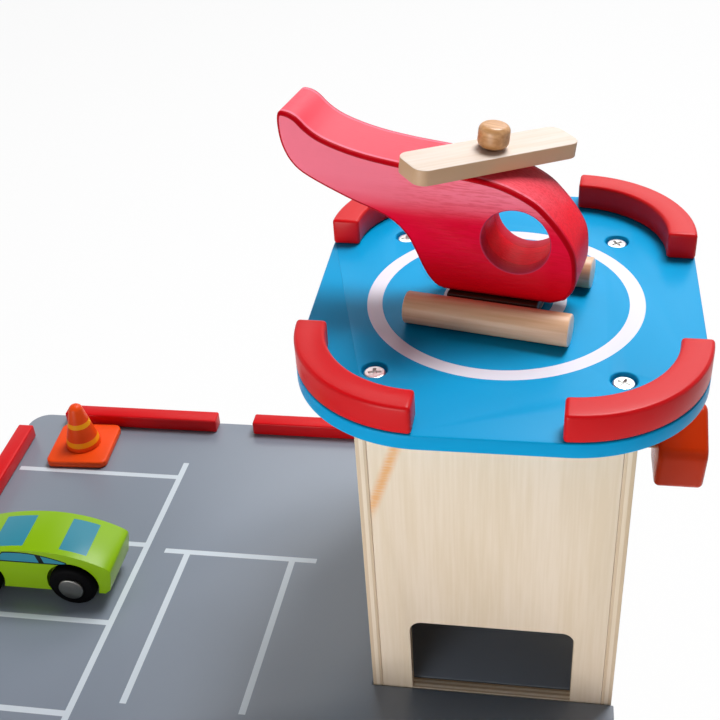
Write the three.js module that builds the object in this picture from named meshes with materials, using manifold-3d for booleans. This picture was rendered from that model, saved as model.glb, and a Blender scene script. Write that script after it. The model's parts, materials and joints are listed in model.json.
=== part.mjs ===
// A wooden toy parking garage with a lift, and the helicopter, car and traffic cone that belong to it.
// Millimetres, +Z up. The origin is the middle of the base board's underside, on the floor.
// +X is towards the lift tower, and -Y is the front, where the storeys are open.

import * as THREE from 'three';
import { mergeVertices } from 'three/addons/utils/BufferGeometryUtils.js';
import Module from 'manifold-3d';

const wasm = await Module();
wasm.setup();

// Driving dimensions: the garage
const GARAGE_WIDTH = 324;
const GARAGE_DEPTH = 237;
const CORNER_RADIUS = 11;
const BASE_THICKNESS = 9;
const DECK_THICKNESS = 6.4;
const STOREY_HEIGHT = 110;
const HELIPAD_RISE = 150;

// Driving dimensions: the lift tower
const TOWER_WIDTH = 100;
const TOWER_DEPTH = 150;
const TOWER_RIGHT_SETBACK = 1;
const TOWER_BACK_SETBACK = 21;
const PLY_THICKNESS = 5.5;
const TOWER_SIDE_THICKNESS = 7.5;
const RABBET_DEPTH = 3.5;
const DOOR_WIDTH = 66;
const DOOR_HEIGHT = 40.5;
const DOOR_RADIUS = 5;

// Driving dimensions: the helipad
const HELIPAD_WIDTH = 153;
const HELIPAD_DEPTH = 178.6;
const HELIPAD_RADIUS = 51;
const HELIPAD_THICKNESS = 6.4;

// Driving dimensions: the lift and its crank
const LIFT_SIDE_CLEARANCE = 0.4;
const LIFT_BOARD_THICKNESS = 6;
const LIFT_CLEAR_HEIGHT = 45;
const CRANK_DROP = 69;
const AXLE_RADIUS = 3;
const SPOOL_CORE_RADIUS = 14;

// Clearances: a glue line between flat faces, a fit where one piece is cut for another, and a running fit
const GLUE_LINE = 0.1;
const FIT_GAP = 0.3;
const RUNNING_GAP = 0.5;
const OVERRUN = 2;

// Heights and places that follow from them
const FIRST_DECK_TOP = BASE_THICKNESS + STOREY_HEIGHT;
const ROOF_TOP = FIRST_DECK_TOP + STOREY_HEIGHT;
const HELIPAD_TOP = ROOF_TOP + HELIPAD_RISE;
const HELIPAD_BOTTOM = HELIPAD_TOP - HELIPAD_THICKNESS;
const GARAGE_LEFT = -GARAGE_WIDTH / 2;
const GARAGE_RIGHT = GARAGE_WIDTH / 2;
const GARAGE_FRONT = -GARAGE_DEPTH / 2;
const GARAGE_BACK = GARAGE_DEPTH / 2;
const TOWER_X = GARAGE_RIGHT - TOWER_RIGHT_SETBACK - TOWER_WIDTH / 2;
const TOWER_Y = GARAGE_BACK - TOWER_BACK_SETBACK - TOWER_DEPTH / 2;
const TOWER_LEFT = TOWER_X - TOWER_WIDTH / 2;
const TOWER_RIGHT = TOWER_X + TOWER_WIDTH / 2;
const TOWER_FRONT = TOWER_Y - TOWER_DEPTH / 2;
const TOWER_BACK = TOWER_Y + TOWER_DEPTH / 2;
const SHAFT_HALF_WIDTH = TOWER_WIDTH / 2 - TOWER_SIDE_THICKNESS;
const SHAFT_HALF_DEPTH = TOWER_DEPTH / 2 - PLY_THICKNESS;
const CRANK_Z = HELIPAD_TOP - CRANK_DROP;

const garage = new THREE.Group();

// Materials
const finish = (color, roughness, metalness = 0) => () => (
  new THREE.MeshStandardMaterial({ color, roughness, metalness })
);
const plywood = finish(0xe3cdae, 0.7);
const paleWood = finish(0xd9b78c, 0.6);
const greyPaint = finish(0x8b8d93, 0.55);
const bluePaint = finish(0x2b84c0, 0.5);
const redPaint = finish(0xc4141f, 0.4);
const redStain = finish(0xc8243a, 0.45);
const brownStain = finish(0x8a4a2c, 0.6);
const orangePaint = finish(0xc23a14, 0.45);
const coneOrange = finish(0xe0531f, 0.5);
const greenPaint = finish(0x8fc31c, 0.4);
const blackRubber = finish(0x15151a, 0.7);
const steel = finish(0xc8c8ca, 0.3, 1);

// Turns a closed geometry into a solid, and a solid back into a geometry
function solidOf(geometry) {
  const bare = geometry.clone();
  bare.deleteAttribute('normal');
  bare.deleteAttribute('uv');
  const merged = mergeVertices(bare);
  return new wasm.Manifold(new wasm.Mesh({
    numProp: 3,
    vertProperties: new Float32Array(merged.attributes.position.array),
    triVerts: new Uint32Array(merged.index.array),
  }));
}

function geometryOf(solid) {
  const mesh = solid.getMesh();
  const geometry = new THREE.BufferGeometry();
  geometry.setAttribute('position', new THREE.BufferAttribute(mesh.vertProperties, 3));
  geometry.setIndex(new THREE.BufferAttribute(mesh.triVerts, 1));
  return geometry;
}

function cut(geometry, tools) {
  return geometryOf(tools.reduce((solid, tool) => solid.subtract(solidOf(tool)), solidOf(geometry)));
}

function join(geometry, others) {
  return geometryOf(others.reduce((solid, other) => solid.add(solidOf(other)), solidOf(geometry)));
}

function add(parent, name, geometry, material, place = [0, 0, 0]) {
  const mesh = new THREE.Mesh(geometry, material());
  mesh.name = name;
  mesh.position.set(...place);
  parent.add(mesh);
}

// A box from its lowest to its highest corner
function box(low, high) {
  const size = high.map((value, axis) => value - low[axis]);
  const middle = high.map((value, axis) => (value + low[axis]) / 2);
  return new THREE.BoxGeometry(...size).translate(...middle);
}

// A round bar along one axis, between two places on that axis
const BAR_SIDES = 20;
function bar(axis, radius, from, to, middle, sides = BAR_SIDES) {
  const geometry = new THREE.CylinderGeometry(radius, radius, to - from, sides);
  const place = [...middle];
  place.splice('xyz'.indexOf(axis), 0, (from + to) / 2);
  if (axis === 'x') geometry.rotateZ(-Math.PI / 2);
  if (axis === 'z') geometry.rotateX(Math.PI / 2);
  return geometry.translate(...place);
}

// Points of an arc, the ends included
function arc(centreX, centreY, radius, start, end, steps) {
  return Array.from({ length: steps + 1 }, (_, i) => {
    const angle = start + (i / steps) * (end - start);
    return new THREE.Vector2(centreX + radius * Math.cos(angle), centreY + radius * Math.sin(angle));
  });
}

// A rectangle with its own radius at each corner: high right, high left, low left, low right
const CORNER_STEPS = 5;
function rectangle(left, right, low, high, radii = [0, 0, 0, 0]) {
  const corners = [[right, high, -1, -1], [left, high, 1, -1], [left, low, 1, 1], [right, low, -1, 1]];
  return corners.flatMap(([x, y, inX, inY], i) => {
    const start = (i * Math.PI) / 2;
    return radii[i] > 0
      ? arc(x + inX * radii[i], y + inY * radii[i], radii[i], start, start + Math.PI / 2, CORNER_STEPS)
      : [new THREE.Vector2(x, y)];
  });
}

const allCorners = (radius) => Array(4).fill(radius);
const around = (x, y, width, depth, radius = 0) => (
  rectangle(x - width / 2, x + width / 2, y - depth / 2, y + depth / 2, allCorners(radius))
);

// An outline with its corners rounded, each from a little before it to a little after it
const SOFT_CORNER_STEPS = 2;
function softened(points, reach) {
  return points.flatMap((point, i) => {
    const before = points[(i + points.length - 1) % points.length];
    const after = points[(i + 1) % points.length];
    const entry = point.clone().add(before.clone().sub(point).setLength(reach));
    const exit = point.clone().add(after.clone().sub(point).setLength(reach));
    return new THREE.QuadraticBezierCurve(entry, point, exit).getPoints(SOFT_CORNER_STEPS);
  });
}

// A plate of an outline with holes, its thickness along +Z, and with softened edges if asked
function plate(points, thickness, holes = [], edge = 0) {
  const shape = new THREE.Shape(points);
  shape.holes = holes.map((hole) => new THREE.Path(hole));
  return new THREE.ExtrudeGeometry(shape, {
    depth: thickness - 2 * edge,
    bevelEnabled: edge > 0,
    bevelThickness: edge,
    bevelSize: edge,
    bevelOffset: -edge,
    bevelSegments: 1,
  }).translate(0, 0, edge);
}

// The same plate facing the front, its outline in X and Z, and facing the side, its outline in Y and Z
const facingFront = (geometry, frontY, thickness) => (
  geometry.rotateX(Math.PI / 2).translate(0, frontY + thickness, 0)
);
const facingSide = (geometry, leftX) => (
  geometry.rotateX(Math.PI / 2).rotateZ(Math.PI / 2).translate(leftX, 0, 0)
);

// Base board: a well in it takes the lift's platform, so that the lowest stop is flush
const garageOutline = rectangle(
  GARAGE_LEFT, GARAGE_RIGHT, GARAGE_FRONT, GARAGE_BACK, allCorners(CORNER_RADIUS),
);
const shaftOutline = around(TOWER_X, TOWER_Y, 2 * SHAFT_HALF_WIDTH, 2 * SHAFT_HALF_DEPTH);
add(garage, 'base_board', plate(garageOutline, BASE_THICKNESS, [shaftOutline]), greyPaint);

// Decks: the base's outline, with a notch at the right edge in which the tower stands
function deck(name, top) {
  const board = plate(garageOutline, DECK_THICKNESS).translate(0, 0, top - DECK_THICKNESS);
  const notch = box(
    [TOWER_LEFT - FIT_GAP, TOWER_FRONT - FIT_GAP, top - DECK_THICKNESS - OVERRUN],
    [GARAGE_RIGHT + OVERRUN, TOWER_BACK + FIT_GAP, top + OVERRUN],
  );
  add(garage, name, cut(board, [notch]), greyPaint);
}
deck('first_deck', FIRST_DECK_TOP);
deck('roof_deck', ROOF_TOP);

// Walls of the two storeys, with a row of round-cornered windows, and the posts at the front
const WALL_SETBACK = 6;
const WALL_END_MARGIN = 26;
const POST_RADIUS = 8;
const POST_SETBACK = 14;
const WINDOW_SIZE = 40;
const WINDOW_RADIUS = 8;
const WINDOW_SILL = 32;
const LEFT_WINDOW_COUNT = 2;
const BACK_WINDOW_COUNT = 3;

const leftWallX = GARAGE_LEFT + WALL_SETBACK;
const leftWallFront = GARAGE_FRONT + WALL_END_MARGIN;
const backWallY = GARAGE_BACK - WALL_SETBACK - PLY_THICKNESS;
const backWallRight = GARAGE_RIGHT - WALL_END_MARGIN;
const postPlaces = {
  middle: [TOWER_LEFT - POST_SETBACK, GARAGE_FRONT + POST_SETBACK],
  right: [GARAGE_RIGHT - POST_SETBACK, GARAGE_FRONT + POST_SETBACK],
};

function wallPlate(start, end, bottom, top, windowCount) {
  const pitch = (end - start) / windowCount;
  const windowZ = bottom + WINDOW_SILL + WINDOW_SIZE / 2;
  const windows = Array.from({ length: windowCount }, (_, i) => (
    around(start + (i + 1 / 2) * pitch, windowZ, WINDOW_SIZE, WINDOW_SIZE, WINDOW_RADIUS)
  ));
  return plate(rectangle(start, end, bottom, top), PLY_THICKNESS, windows);
}

for (const [storey, floor] of [['lower', BASE_THICKNESS], ['upper', FIRST_DECK_TOP]]) {
  const ends = [floor + GLUE_LINE, floor + STOREY_HEIGHT - DECK_THICKNESS - GLUE_LINE];
  const leftWall = wallPlate(leftWallFront, backWallY - GLUE_LINE, ...ends, LEFT_WINDOW_COUNT);
  const backWall = wallPlate(leftWallX, backWallRight, ...ends, BACK_WINDOW_COUNT);
  add(garage, `left_wall_${storey}`, facingSide(leftWall, leftWallX), plywood);
  add(garage, `back_wall_${storey}`, facingFront(backWall, backWallY, PLY_THICKNESS), plywood);
  for (const [side, place] of Object.entries(postPlaces)) {
    add(garage, `${side}_post_${storey}`, bar('z', POST_RADIUS, ...ends, place), paleWood);
  }
}

// Helipad screws: pan heads with a cross recess, in counterbores, down into the tower's side panels
const SCREW_HEAD_RADIUS = 4.25;
const SCREW_HEAD_HEIGHT = 1.8;
const SCREW_RADIUS = 1.1;
const SCREW_LENGTH = 18;
const SCREW_INSET = 2.7;
const SCREW_SPACING = 100.4;
const SCREW_ROWS_FORWARD = 1.5;
const SCREW_SIDES = 16;
const HEAD_CROWN_RADIUS = 3.4;
const HEAD_CROWN_DROP = 0.4;
const COUNTERBORE_RADIUS = 4.9;
const COUNTERBORE_DEPTH = 2.9;
const RECESS_ARM = 5;
const RECESS_WIDTH = 1.3;
const RECESS_DEPTH = 1.1;

const screwSeat = HELIPAD_TOP - COUNTERBORE_DEPTH + GLUE_LINE;
const screwProfile = [
  [0, -SCREW_LENGTH],
  [SCREW_RADIUS, -SCREW_LENGTH],
  [SCREW_RADIUS, 0],
  [SCREW_HEAD_RADIUS, 0],
  [SCREW_HEAD_RADIUS, SCREW_HEAD_HEIGHT / 2],
  [HEAD_CROWN_RADIUS, SCREW_HEAD_HEIGHT - HEAD_CROWN_DROP],
  [0, SCREW_HEAD_HEIGHT],
].map(([radius, height]) => new THREE.Vector2(radius, height));
const recessArms = [[RECESS_ARM, RECESS_WIDTH], [RECESS_WIDTH, RECESS_ARM]].map((size) => (
  plate(around(0, 0, ...size), RECESS_DEPTH + OVERRUN).translate(0, 0, SCREW_HEAD_HEIGHT - RECESS_DEPTH)
));
const screwPlaces = {
  front_left: [-1, -1], front_right: [1, -1], back_left: [-1, 1], back_right: [1, 1],
};
for (const [corner, [sideX, sideY]] of Object.entries(screwPlaces)) {
  const place = [
    TOWER_X + sideX * (SHAFT_HALF_WIDTH + SCREW_INSET),
    TOWER_Y - SCREW_ROWS_FORWARD + (sideY * SCREW_SPACING) / 2,
  ];
  screwPlaces[corner] = place;
  const blank = new THREE.LatheGeometry(screwProfile, SCREW_SIDES).rotateX(Math.PI / 2);
  add(garage, `helipad_screw_${corner}`, cut(blank, recessArms), steel, [...place, screwSeat]);
}
const screwHole = (radius, bottom) => Object.values(screwPlaces).map((place) => (
  bar('z', radius, bottom, HELIPAD_TOP + OVERRUN, place, SCREW_SIDES)
));
const screwBores = screwHole(SCREW_RADIUS + FIT_GAP, screwSeat - SCREW_LENGTH - FIT_GAP);
const counterbores = screwHole(COUNTERBORE_RADIUS, HELIPAD_TOP - COUNTERBORE_DEPTH);

// Tower: side panels over the full depth, rabbeted along their inner edges for the front and back panels.
// The front panel has a doorway to each floor.
const panelBottom = BASE_THICKNESS + GLUE_LINE;
const panelTop = HELIPAD_BOTTOM - GLUE_LINE;
const onAxle = (radius, from, to) => bar('x', radius, from, to, [TOWER_Y, CRANK_Z]);
const axleBore = onAxle(AXLE_RADIUS + RUNNING_GAP, TOWER_LEFT - OVERRUN, TOWER_RIGHT + OVERRUN);
const panelHalfWidth = SHAFT_HALF_WIDTH + RABBET_DEPTH - FIT_GAP;
const frontPanelBack = TOWER_FRONT + PLY_THICKNESS;
const backPanelFront = TOWER_BACK - PLY_THICKNESS;
const rabbets = [
  [TOWER_FRONT - OVERRUN, frontPanelBack + FIT_GAP],
  [backPanelFront - FIT_GAP, TOWER_BACK + OVERRUN],
].map(([front, back]) => box(
  [TOWER_X - panelHalfWidth - FIT_GAP, front, panelBottom - OVERRUN],
  [TOWER_X + panelHalfWidth + FIT_GAP, back, panelTop + OVERRUN],
));
for (const [side, leftX] of [['left', TOWER_LEFT], ['right', TOWER_X + SHAFT_HALF_WIDTH]]) {
  const panel = box(
    [leftX, TOWER_FRONT, panelBottom], [leftX + TOWER_SIDE_THICKNESS, TOWER_BACK, panelTop],
  );
  add(garage, `tower_${side}_panel`, cut(panel, [...rabbets, axleBore, ...screwBores]), plywood);
}

const innerPanel = (frontY) => {
  const outline = rectangle(TOWER_X - panelHalfWidth, TOWER_X + panelHalfWidth, panelBottom, panelTop);
  return facingFront(plate(outline, PLY_THICKNESS), frontY, PLY_THICKNESS);
};
const doorways = [panelBottom - OVERRUN, FIRST_DECK_TOP, ROOF_TOP].map((sill, storey) => {
  const head = BASE_THICKNESS + storey * STOREY_HEIGHT + DOOR_HEIGHT;
  const sides = [TOWER_X - DOOR_WIDTH / 2, TOWER_X + DOOR_WIDTH / 2];
  const outline = rectangle(...sides, sill, head, [DOOR_RADIUS, DOOR_RADIUS, 0, 0]);
  return facingFront(plate(outline, 2 * PLY_THICKNESS), TOWER_FRONT - OVERRUN, 2 * PLY_THICKNESS);
});
add(garage, 'tower_front_panel', cut(innerPanel(TOWER_FRONT), doorways), plywood);
add(garage, 'tower_back_panel', innerPanel(backPanelFront), plywood);

// Helipad: the board, and a quarter-ring rail on each of its corners
const RAIL_WIDTH = 11.7;
const RAIL_HEIGHT = 11.5;
const RAIL_STEPS = 12;
const RAIL_EDGE = 0.8;

const padOutline = around(TOWER_X, TOWER_Y, HELIPAD_WIDTH, HELIPAD_DEPTH, HELIPAD_RADIUS);
const padBlank = plate(padOutline, HELIPAD_THICKNESS).translate(0, 0, HELIPAD_BOTTOM);
add(garage, 'helipad_board', cut(padBlank, [...screwBores, ...counterbores]), bluePaint);

const railCentreX = HELIPAD_WIDTH / 2 - HELIPAD_RADIUS;
const railCentreY = HELIPAD_DEPTH / 2 - HELIPAD_RADIUS;
// The rails are quarter rings glued on by hand, each turned by a few degrees from its corner
const railCorners = [
  ['back_right', 1, 1, -4.5], ['back_left', -1, 1, -2],
  ['front_left', -1, -1, -1.8], ['front_right', 1, -1, -1.7],
];
railCorners.forEach(([corner, sideX, sideY, turn], quarter) => {
  const start = (quarter * Math.PI) / 2 + THREE.MathUtils.degToRad(turn);
  const end = start + Math.PI / 2;
  const centre = [TOWER_X + sideX * railCentreX, TOWER_Y + sideY * railCentreY];
  const outline = [
    ...arc(...centre, HELIPAD_RADIUS, start, end, RAIL_STEPS),
    ...arc(...centre, HELIPAD_RADIUS - RAIL_WIDTH, end, start, RAIL_STEPS),
  ];
  const rail = plate(outline, RAIL_HEIGHT, [], RAIL_EDGE);
  add(garage, `helipad_rail_${corner}`, rail, redPaint, [0, 0, HELIPAD_TOP + GLUE_LINE]);
});

// Kerb blocks glued along the roof deck's edges, with gaps between them
const KERB_WIDTH = 8.8;
const KERB_HEIGHT = 8;
const KERB_LENGTH = 88;
const KERB_SPACING = 21;
const KERB_FIRST_MARGIN = 23;
const KERB_SIDE_MARGIN = 20;
const RIGHT_KERB_MARGIN_SHARE = 0.3;
const kerbPitch = KERB_LENGTH + KERB_SPACING;
const kerbRowStart = GARAGE_LEFT + KERB_FIRST_MARGIN;
const kerbRowEnd = GARAGE_RIGHT - KERB_FIRST_MARGIN;
const sideKerbLength = (GARAGE_DEPTH - 2 * KERB_SIDE_MARGIN - KERB_SPACING) / 2;
const rightKerbMargin = RIGHT_KERB_MARGIN_SHARE * (TOWER_FRONT - GARAGE_FRONT);

function kerb(name, left, right, front, back) {
  const bottom = ROOF_TOP + GLUE_LINE;
  add(garage, `kerb_${name}`, box([left, front, bottom], [right, back, bottom + KERB_HEIGHT]), redPaint);
}
for (const [row, front] of [['back', GARAGE_BACK - KERB_WIDTH], ['front', GARAGE_FRONT]]) {
  ['left', 'middle', 'right'].forEach((place, i) => {
    const left = kerbRowStart + i * kerbPitch;
    kerb(`${row}_${place}`, left, Math.min(left + KERB_LENGTH, kerbRowEnd), front, front + KERB_WIDTH);
  });
}
['back', 'front'].forEach((place, i) => {
  const back = GARAGE_BACK - KERB_SIDE_MARGIN - i * (sideKerbLength + KERB_SPACING);
  kerb(`left_${place}`, GARAGE_LEFT, GARAGE_LEFT + KERB_WIDTH, back - sideKerbLength, back);
});
kerb(
  'right_front', GARAGE_RIGHT - KERB_WIDTH, GARAGE_RIGHT,
  GARAGE_FRONT + rightKerbMargin, TOWER_FRONT - rightKerbMargin,
);

// Lift: a platform that fills the shaft, hung by two uprights and a crossbar with a screw eye in it
const UPRIGHT_WIDTH = 36;
const CROSSBAR_THICKNESS = 8;
const EYE_RADIUS = 3;
const EYE_WIRE_RADIUS = 0.9;
const EYE_SHANK_LENGTH = 5;
const EYE_WIRE_SIDES = 8;
const EYE_STEPS = 12;

const platformHalfWidth = SHAFT_HALF_WIDTH - LIFT_SIDE_CLEARANCE;
const platformHalfDepth = SHAFT_HALF_DEPTH - LIFT_SIDE_CLEARANCE;
add(garage, 'lift_platform', box(
  [TOWER_X - platformHalfWidth, TOWER_Y - platformHalfDepth, ROOF_TOP - LIFT_BOARD_THICKNESS],
  [TOWER_X + platformHalfWidth, TOWER_Y + platformHalfDepth, ROOF_TOP],
), greyPaint);
const uprightTop = ROOF_TOP + LIFT_CLEAR_HEIGHT;
for (const [side, sign] of [['left', -1], ['right', 1]]) {
  const middle = TOWER_X + sign * (platformHalfWidth - PLY_THICKNESS / 2);
  add(garage, `lift_upright_${side}`, box(
    [middle - PLY_THICKNESS / 2, TOWER_Y - UPRIGHT_WIDTH / 2, ROOF_TOP + GLUE_LINE],
    [middle + PLY_THICKNESS / 2, TOWER_Y + UPRIGHT_WIDTH / 2, uprightTop],
  ), plywood);
}
const crossbarBottom = uprightTop + GLUE_LINE;
const crossbarTop = crossbarBottom + CROSSBAR_THICKNESS;
const eyePlace = [TOWER_X, TOWER_Y + SPOOL_CORE_RADIUS];
const eyeShankBottom = crossbarTop - EYE_SHANK_LENGTH;
const eyeMiddle = crossbarTop + GLUE_LINE + EYE_WIRE_RADIUS + EYE_RADIUS;
add(garage, 'lift_crossbar', cut(
  box(
    [TOWER_X - platformHalfWidth, TOWER_Y - UPRIGHT_WIDTH / 2, crossbarBottom],
    [TOWER_X + platformHalfWidth, TOWER_Y + UPRIGHT_WIDTH / 2, crossbarTop],
  ),
  [bar('z', EYE_WIRE_RADIUS + FIT_GAP, eyeShankBottom - FIT_GAP, crossbarTop + OVERRUN, eyePlace, EYE_STEPS)],
), plywood);
add(garage, 'lift_eye', join(
  new THREE.TorusGeometry(EYE_RADIUS, EYE_WIRE_RADIUS, EYE_WIRE_SIDES, 2 * EYE_STEPS)
    .rotateX(Math.PI / 2)
    .translate(...eyePlace, eyeMiddle),
  [bar('z', EYE_WIRE_RADIUS, eyeShankBottom, eyeMiddle - EYE_RADIUS, eyePlace, EYE_WIRE_SIDES)],
), steel);

// Crank: an axle through both side panels, with the spool inside, a collar on the left and the hand wheel
const COLLAR_RADIUS = 9;
const COLLAR_THICKNESS = 6;
const AXLE_END_PROUD = 2;
const SPOOL_LENGTH = 30;
const SPOOL_FLANGE_RADIUS = 18;
const SPOOL_FLANGE_THICKNESS = 4;
const WHEEL_RADIUS = 20.2;
const WHEEL_THICKNESS = 20;
const WHEEL_STANDOFF = 14.5;
const WHEEL_FLATS = 5;
const WHEEL_TURN = THREE.MathUtils.degToRad(157);
const WHEEL_CORNER_REACH = 3;
const WHEEL_EDGE = 0.8;

const hubBore = (from, to) => onAxle(AXLE_RADIUS + FIT_GAP, from - OVERRUN, to + OVERRUN);
const wheelLeft = TOWER_RIGHT + WHEEL_STANDOFF;
const wheelRight = wheelLeft + WHEEL_THICKNESS;
const collarRight = TOWER_LEFT - RUNNING_GAP;
const collarLeft = collarRight - COLLAR_THICKNESS;
const spoolLeft = TOWER_X - SPOOL_LENGTH / 2;
const spoolRight = TOWER_X + SPOOL_LENGTH / 2;
const axleEnds = [collarLeft - AXLE_END_PROUD, wheelRight - AXLE_END_PROUD];

add(garage, 'crank_axle', onAxle(AXLE_RADIUS, ...axleEnds), paleWood);
const collar = onAxle(COLLAR_RADIUS, collarLeft, collarRight);
add(garage, 'axle_collar', cut(collar, [hubBore(collarLeft, collarRight)]), paleWood);
const spoolBody = join(onAxle(SPOOL_CORE_RADIUS, spoolLeft, spoolRight), [
  onAxle(SPOOL_FLANGE_RADIUS, spoolLeft, spoolLeft + SPOOL_FLANGE_THICKNESS),
  onAxle(SPOOL_FLANGE_RADIUS, spoolRight - SPOOL_FLANGE_THICKNESS, spoolRight),
]);
add(garage, 'cord_spool', cut(spoolBody, [hubBore(spoolLeft, spoolRight)]), paleWood);

const wheelCorners = arc(0, 0, WHEEL_RADIUS, WHEEL_TURN, WHEEL_TURN + 2 * Math.PI, WHEEL_FLATS).slice(1);
const wheelOutline = softened(wheelCorners, WHEEL_CORNER_REACH)
  .map((point) => new THREE.Vector2(point.x + TOWER_Y, point.y + CRANK_Z));
const wheelBlank = facingSide(plate(wheelOutline, WHEEL_THICKNESS, [], WHEEL_EDGE), wheelLeft);
const wheelBore = onAxle(AXLE_RADIUS + FIT_GAP, wheelLeft - OVERRUN, wheelRight - AXLE_END_PROUD + FIT_GAP);
add(garage, 'crank_wheel', cut(wheelBlank, [wheelBore]), orangePaint);

// Helicopter: a thick flat body with a round window, on two dowels, with a bar for a rotor.
// It stands on the middle of the helipad, turned a little towards the front.
const HELICOPTER_PLACE = [-1.4, -3.5];
const HELICOPTER_TURN = THREE.MathUtils.degToRad(-11.3);
const HELICOPTER_LENGTH = 115.3;
const HELICOPTER_HEIGHT = 68;
const HELICOPTER_THICKNESS = 26;
const HELICOPTER_NOSE = 31.3;
const HELICOPTER_EDGE = 1;
const HELICOPTER_BELLY = 11;
const WINDOW_HOLE_RADIUS = 13;
const WINDOW_HOLE_PLACE = [8.4, 35.7];
const WINDOW_HOLE_SIDES = 28;
const SKID_RADIUS = 6.3;
const SKID_LENGTH = 64.3;
const SKID_SPACING = 42.7;
const CROSSPIECE_LENGTH = 35.6;
const CROSSPIECE_THICKNESS = 5.5;
const ROTOR_LENGTH = 71.2;
const ROTOR_HOLE_OFFSET = 0.7;
const ROTOR_WIDTH = 17;
const ROTOR_THICKNESS = 6.1;
const ROTOR_CORNER_RADIUS = 4.7;
const ROTOR_PLACE = [-4.7, 60];
const ROTOR_TILT = THREE.MathUtils.degToRad(6);
const ROTOR_LEAN = THREE.MathUtils.degToRad(-3);
const ROTOR_TURN = THREE.MathUtils.degToRad(48.4);
const KNOB_RADIUS = 5.9;
const KNOB_HEIGHT = 8.6;
const KNOB_EDGE = 2.3;
const KNOB_EDGE_STEPS = 3;
const KNOB_SIDES = 20;
const PIN_RADIUS = 2;
const PIN_DEPTH = 12;

// The body's outline, from the heel along the bottom to the nose, over the back to the tail and under it
// again, as shares of its length from the tail and of its height from the bottom
const bodyHeelShares = [[0.562, 0], [0.925, 0]];
const bodyOutlineShares = [
  [0.968, 0.03], [0.996, 0.105], [1, 0.21], [0.99, 0.325], [0.958, 0.425], [0.908, 0.53], [0.855, 0.61],
  [0.768, 0.68], [0.682, 0.712], [0.53, 0.738], [0.408, 0.758], [0.3, 0.785], [0.215, 0.82], [0.148, 0.862],
  [0.104, 0.91], [0.068, 0.968], [0.035, 0.993], [0.006, 0.985], [0, 0.9], [0.01, 0.79], [0.04, 0.69],
  [0.095, 0.615], [0.229, 0.51], [0.321, 0.452], [0.383, 0.402], [0.43, 0.325], [0.458, 0.235], [0.477, 0.16],
  [0.497, 0.09], [0.52, 0.037], [0.54, 0.01],
];
const BODY_CURVE_POINTS = 56;
const atBody = ([along, up]) => new THREE.Vector2(
  HELICOPTER_NOSE - (1 - along) * HELICOPTER_LENGTH,
  HELICOPTER_BELLY + up * HELICOPTER_HEIGHT,
);
const bodyOutline = [
  ...bodyHeelShares.map(atBody),
  ...new THREE.SplineCurve(bodyOutlineShares.map(atBody)).getPoints(BODY_CURVE_POINTS),
];

const helicopter = new THREE.Group();
helicopter.position.set(
  TOWER_X + HELICOPTER_PLACE[0], TOWER_Y + HELICOPTER_PLACE[1], HELIPAD_TOP + GLUE_LINE,
);
helicopter.rotation.z = HELICOPTER_TURN;
garage.add(helicopter);

const bodyPlate = plate(bodyOutline, HELICOPTER_THICKNESS, [], HELICOPTER_EDGE);
const bodyBlank = facingFront(bodyPlate, -HELICOPTER_THICKNESS / 2, HELICOPTER_THICKNESS);
const windowBore = bar(
  'y', WINDOW_HOLE_RADIUS, -HELICOPTER_THICKNESS, HELICOPTER_THICKNESS, WINDOW_HOLE_PLACE, WINDOW_HOLE_SIDES,
);
// Something on the rotor's axis, which leans towards the nose because the body's back slopes, and a little
// to the far side because its hole was drilled by hand
const onRotorAxis = (geometry) => geometry
  .rotateX(ROTOR_LEAN)
  .rotateY(ROTOR_TILT)
  .translate(ROTOR_PLACE[0], 0, ROTOR_PLACE[1]);
const pinBore = onRotorAxis(bar('z', PIN_RADIUS + FIT_GAP, -PIN_DEPTH - FIT_GAP, ROTOR_THICKNESS, [0, 0]));
add(helicopter, 'helicopter_body', cut(bodyBlank, [windowBore, pinBore]), redStain);

for (const [side, sign] of [['near', -1], ['far', 1]]) {
  const middle = [(sign * SKID_SPACING) / 2, SKID_RADIUS];
  const skid = bar('x', SKID_RADIUS, -SKID_LENGTH / 2, SKID_LENGTH / 2, middle);
  add(helicopter, `helicopter_skid_${side}`, skid, paleWood);
}
const crosspieceReach = SKID_SPACING / 2 - SKID_RADIUS - FIT_GAP;
const crosspieceTop = HELICOPTER_BELLY - FIT_GAP;
add(helicopter, 'helicopter_crosspiece', box(
  [-CROSSPIECE_LENGTH / 2, -crosspieceReach, crosspieceTop - CROSSPIECE_THICKNESS],
  [CROSSPIECE_LENGTH / 2, crosspieceReach, crosspieceTop],
), brownStain);

const rotorOutline = around(-ROTOR_HOLE_OFFSET, 0, ROTOR_LENGTH, ROTOR_WIDTH, ROTOR_CORNER_RADIUS);
const rotorHole = arc(0, 0, PIN_RADIUS + RUNNING_GAP, 0, 2 * Math.PI, BAR_SIDES).slice(1);
const rotorTop = RUNNING_GAP + ROTOR_THICKNESS;
add(helicopter, 'rotor_blade', onRotorAxis(
  plate(rotorOutline, ROTOR_THICKNESS, [rotorHole]).rotateZ(ROTOR_TURN).translate(0, 0, RUNNING_GAP),
), paleWood);
const knobBottom = rotorTop + RUNNING_GAP;
const pinTop = knobBottom + KNOB_HEIGHT / 2;
const knobShoulder = KNOB_RADIUS - KNOB_EDGE;
const knobProfile = [
  new THREE.Vector2(0, 0),
  ...arc(knobShoulder, KNOB_EDGE, KNOB_EDGE, -Math.PI / 2, 0, KNOB_EDGE_STEPS),
  ...arc(knobShoulder, KNOB_HEIGHT - KNOB_EDGE, KNOB_EDGE, 0, Math.PI / 2, KNOB_EDGE_STEPS),
  new THREE.Vector2(0, KNOB_HEIGHT),
];
const knob = new THREE.LatheGeometry(knobProfile, KNOB_SIDES)
  .rotateX(Math.PI / 2)
  .translate(0, 0, knobBottom);
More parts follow.
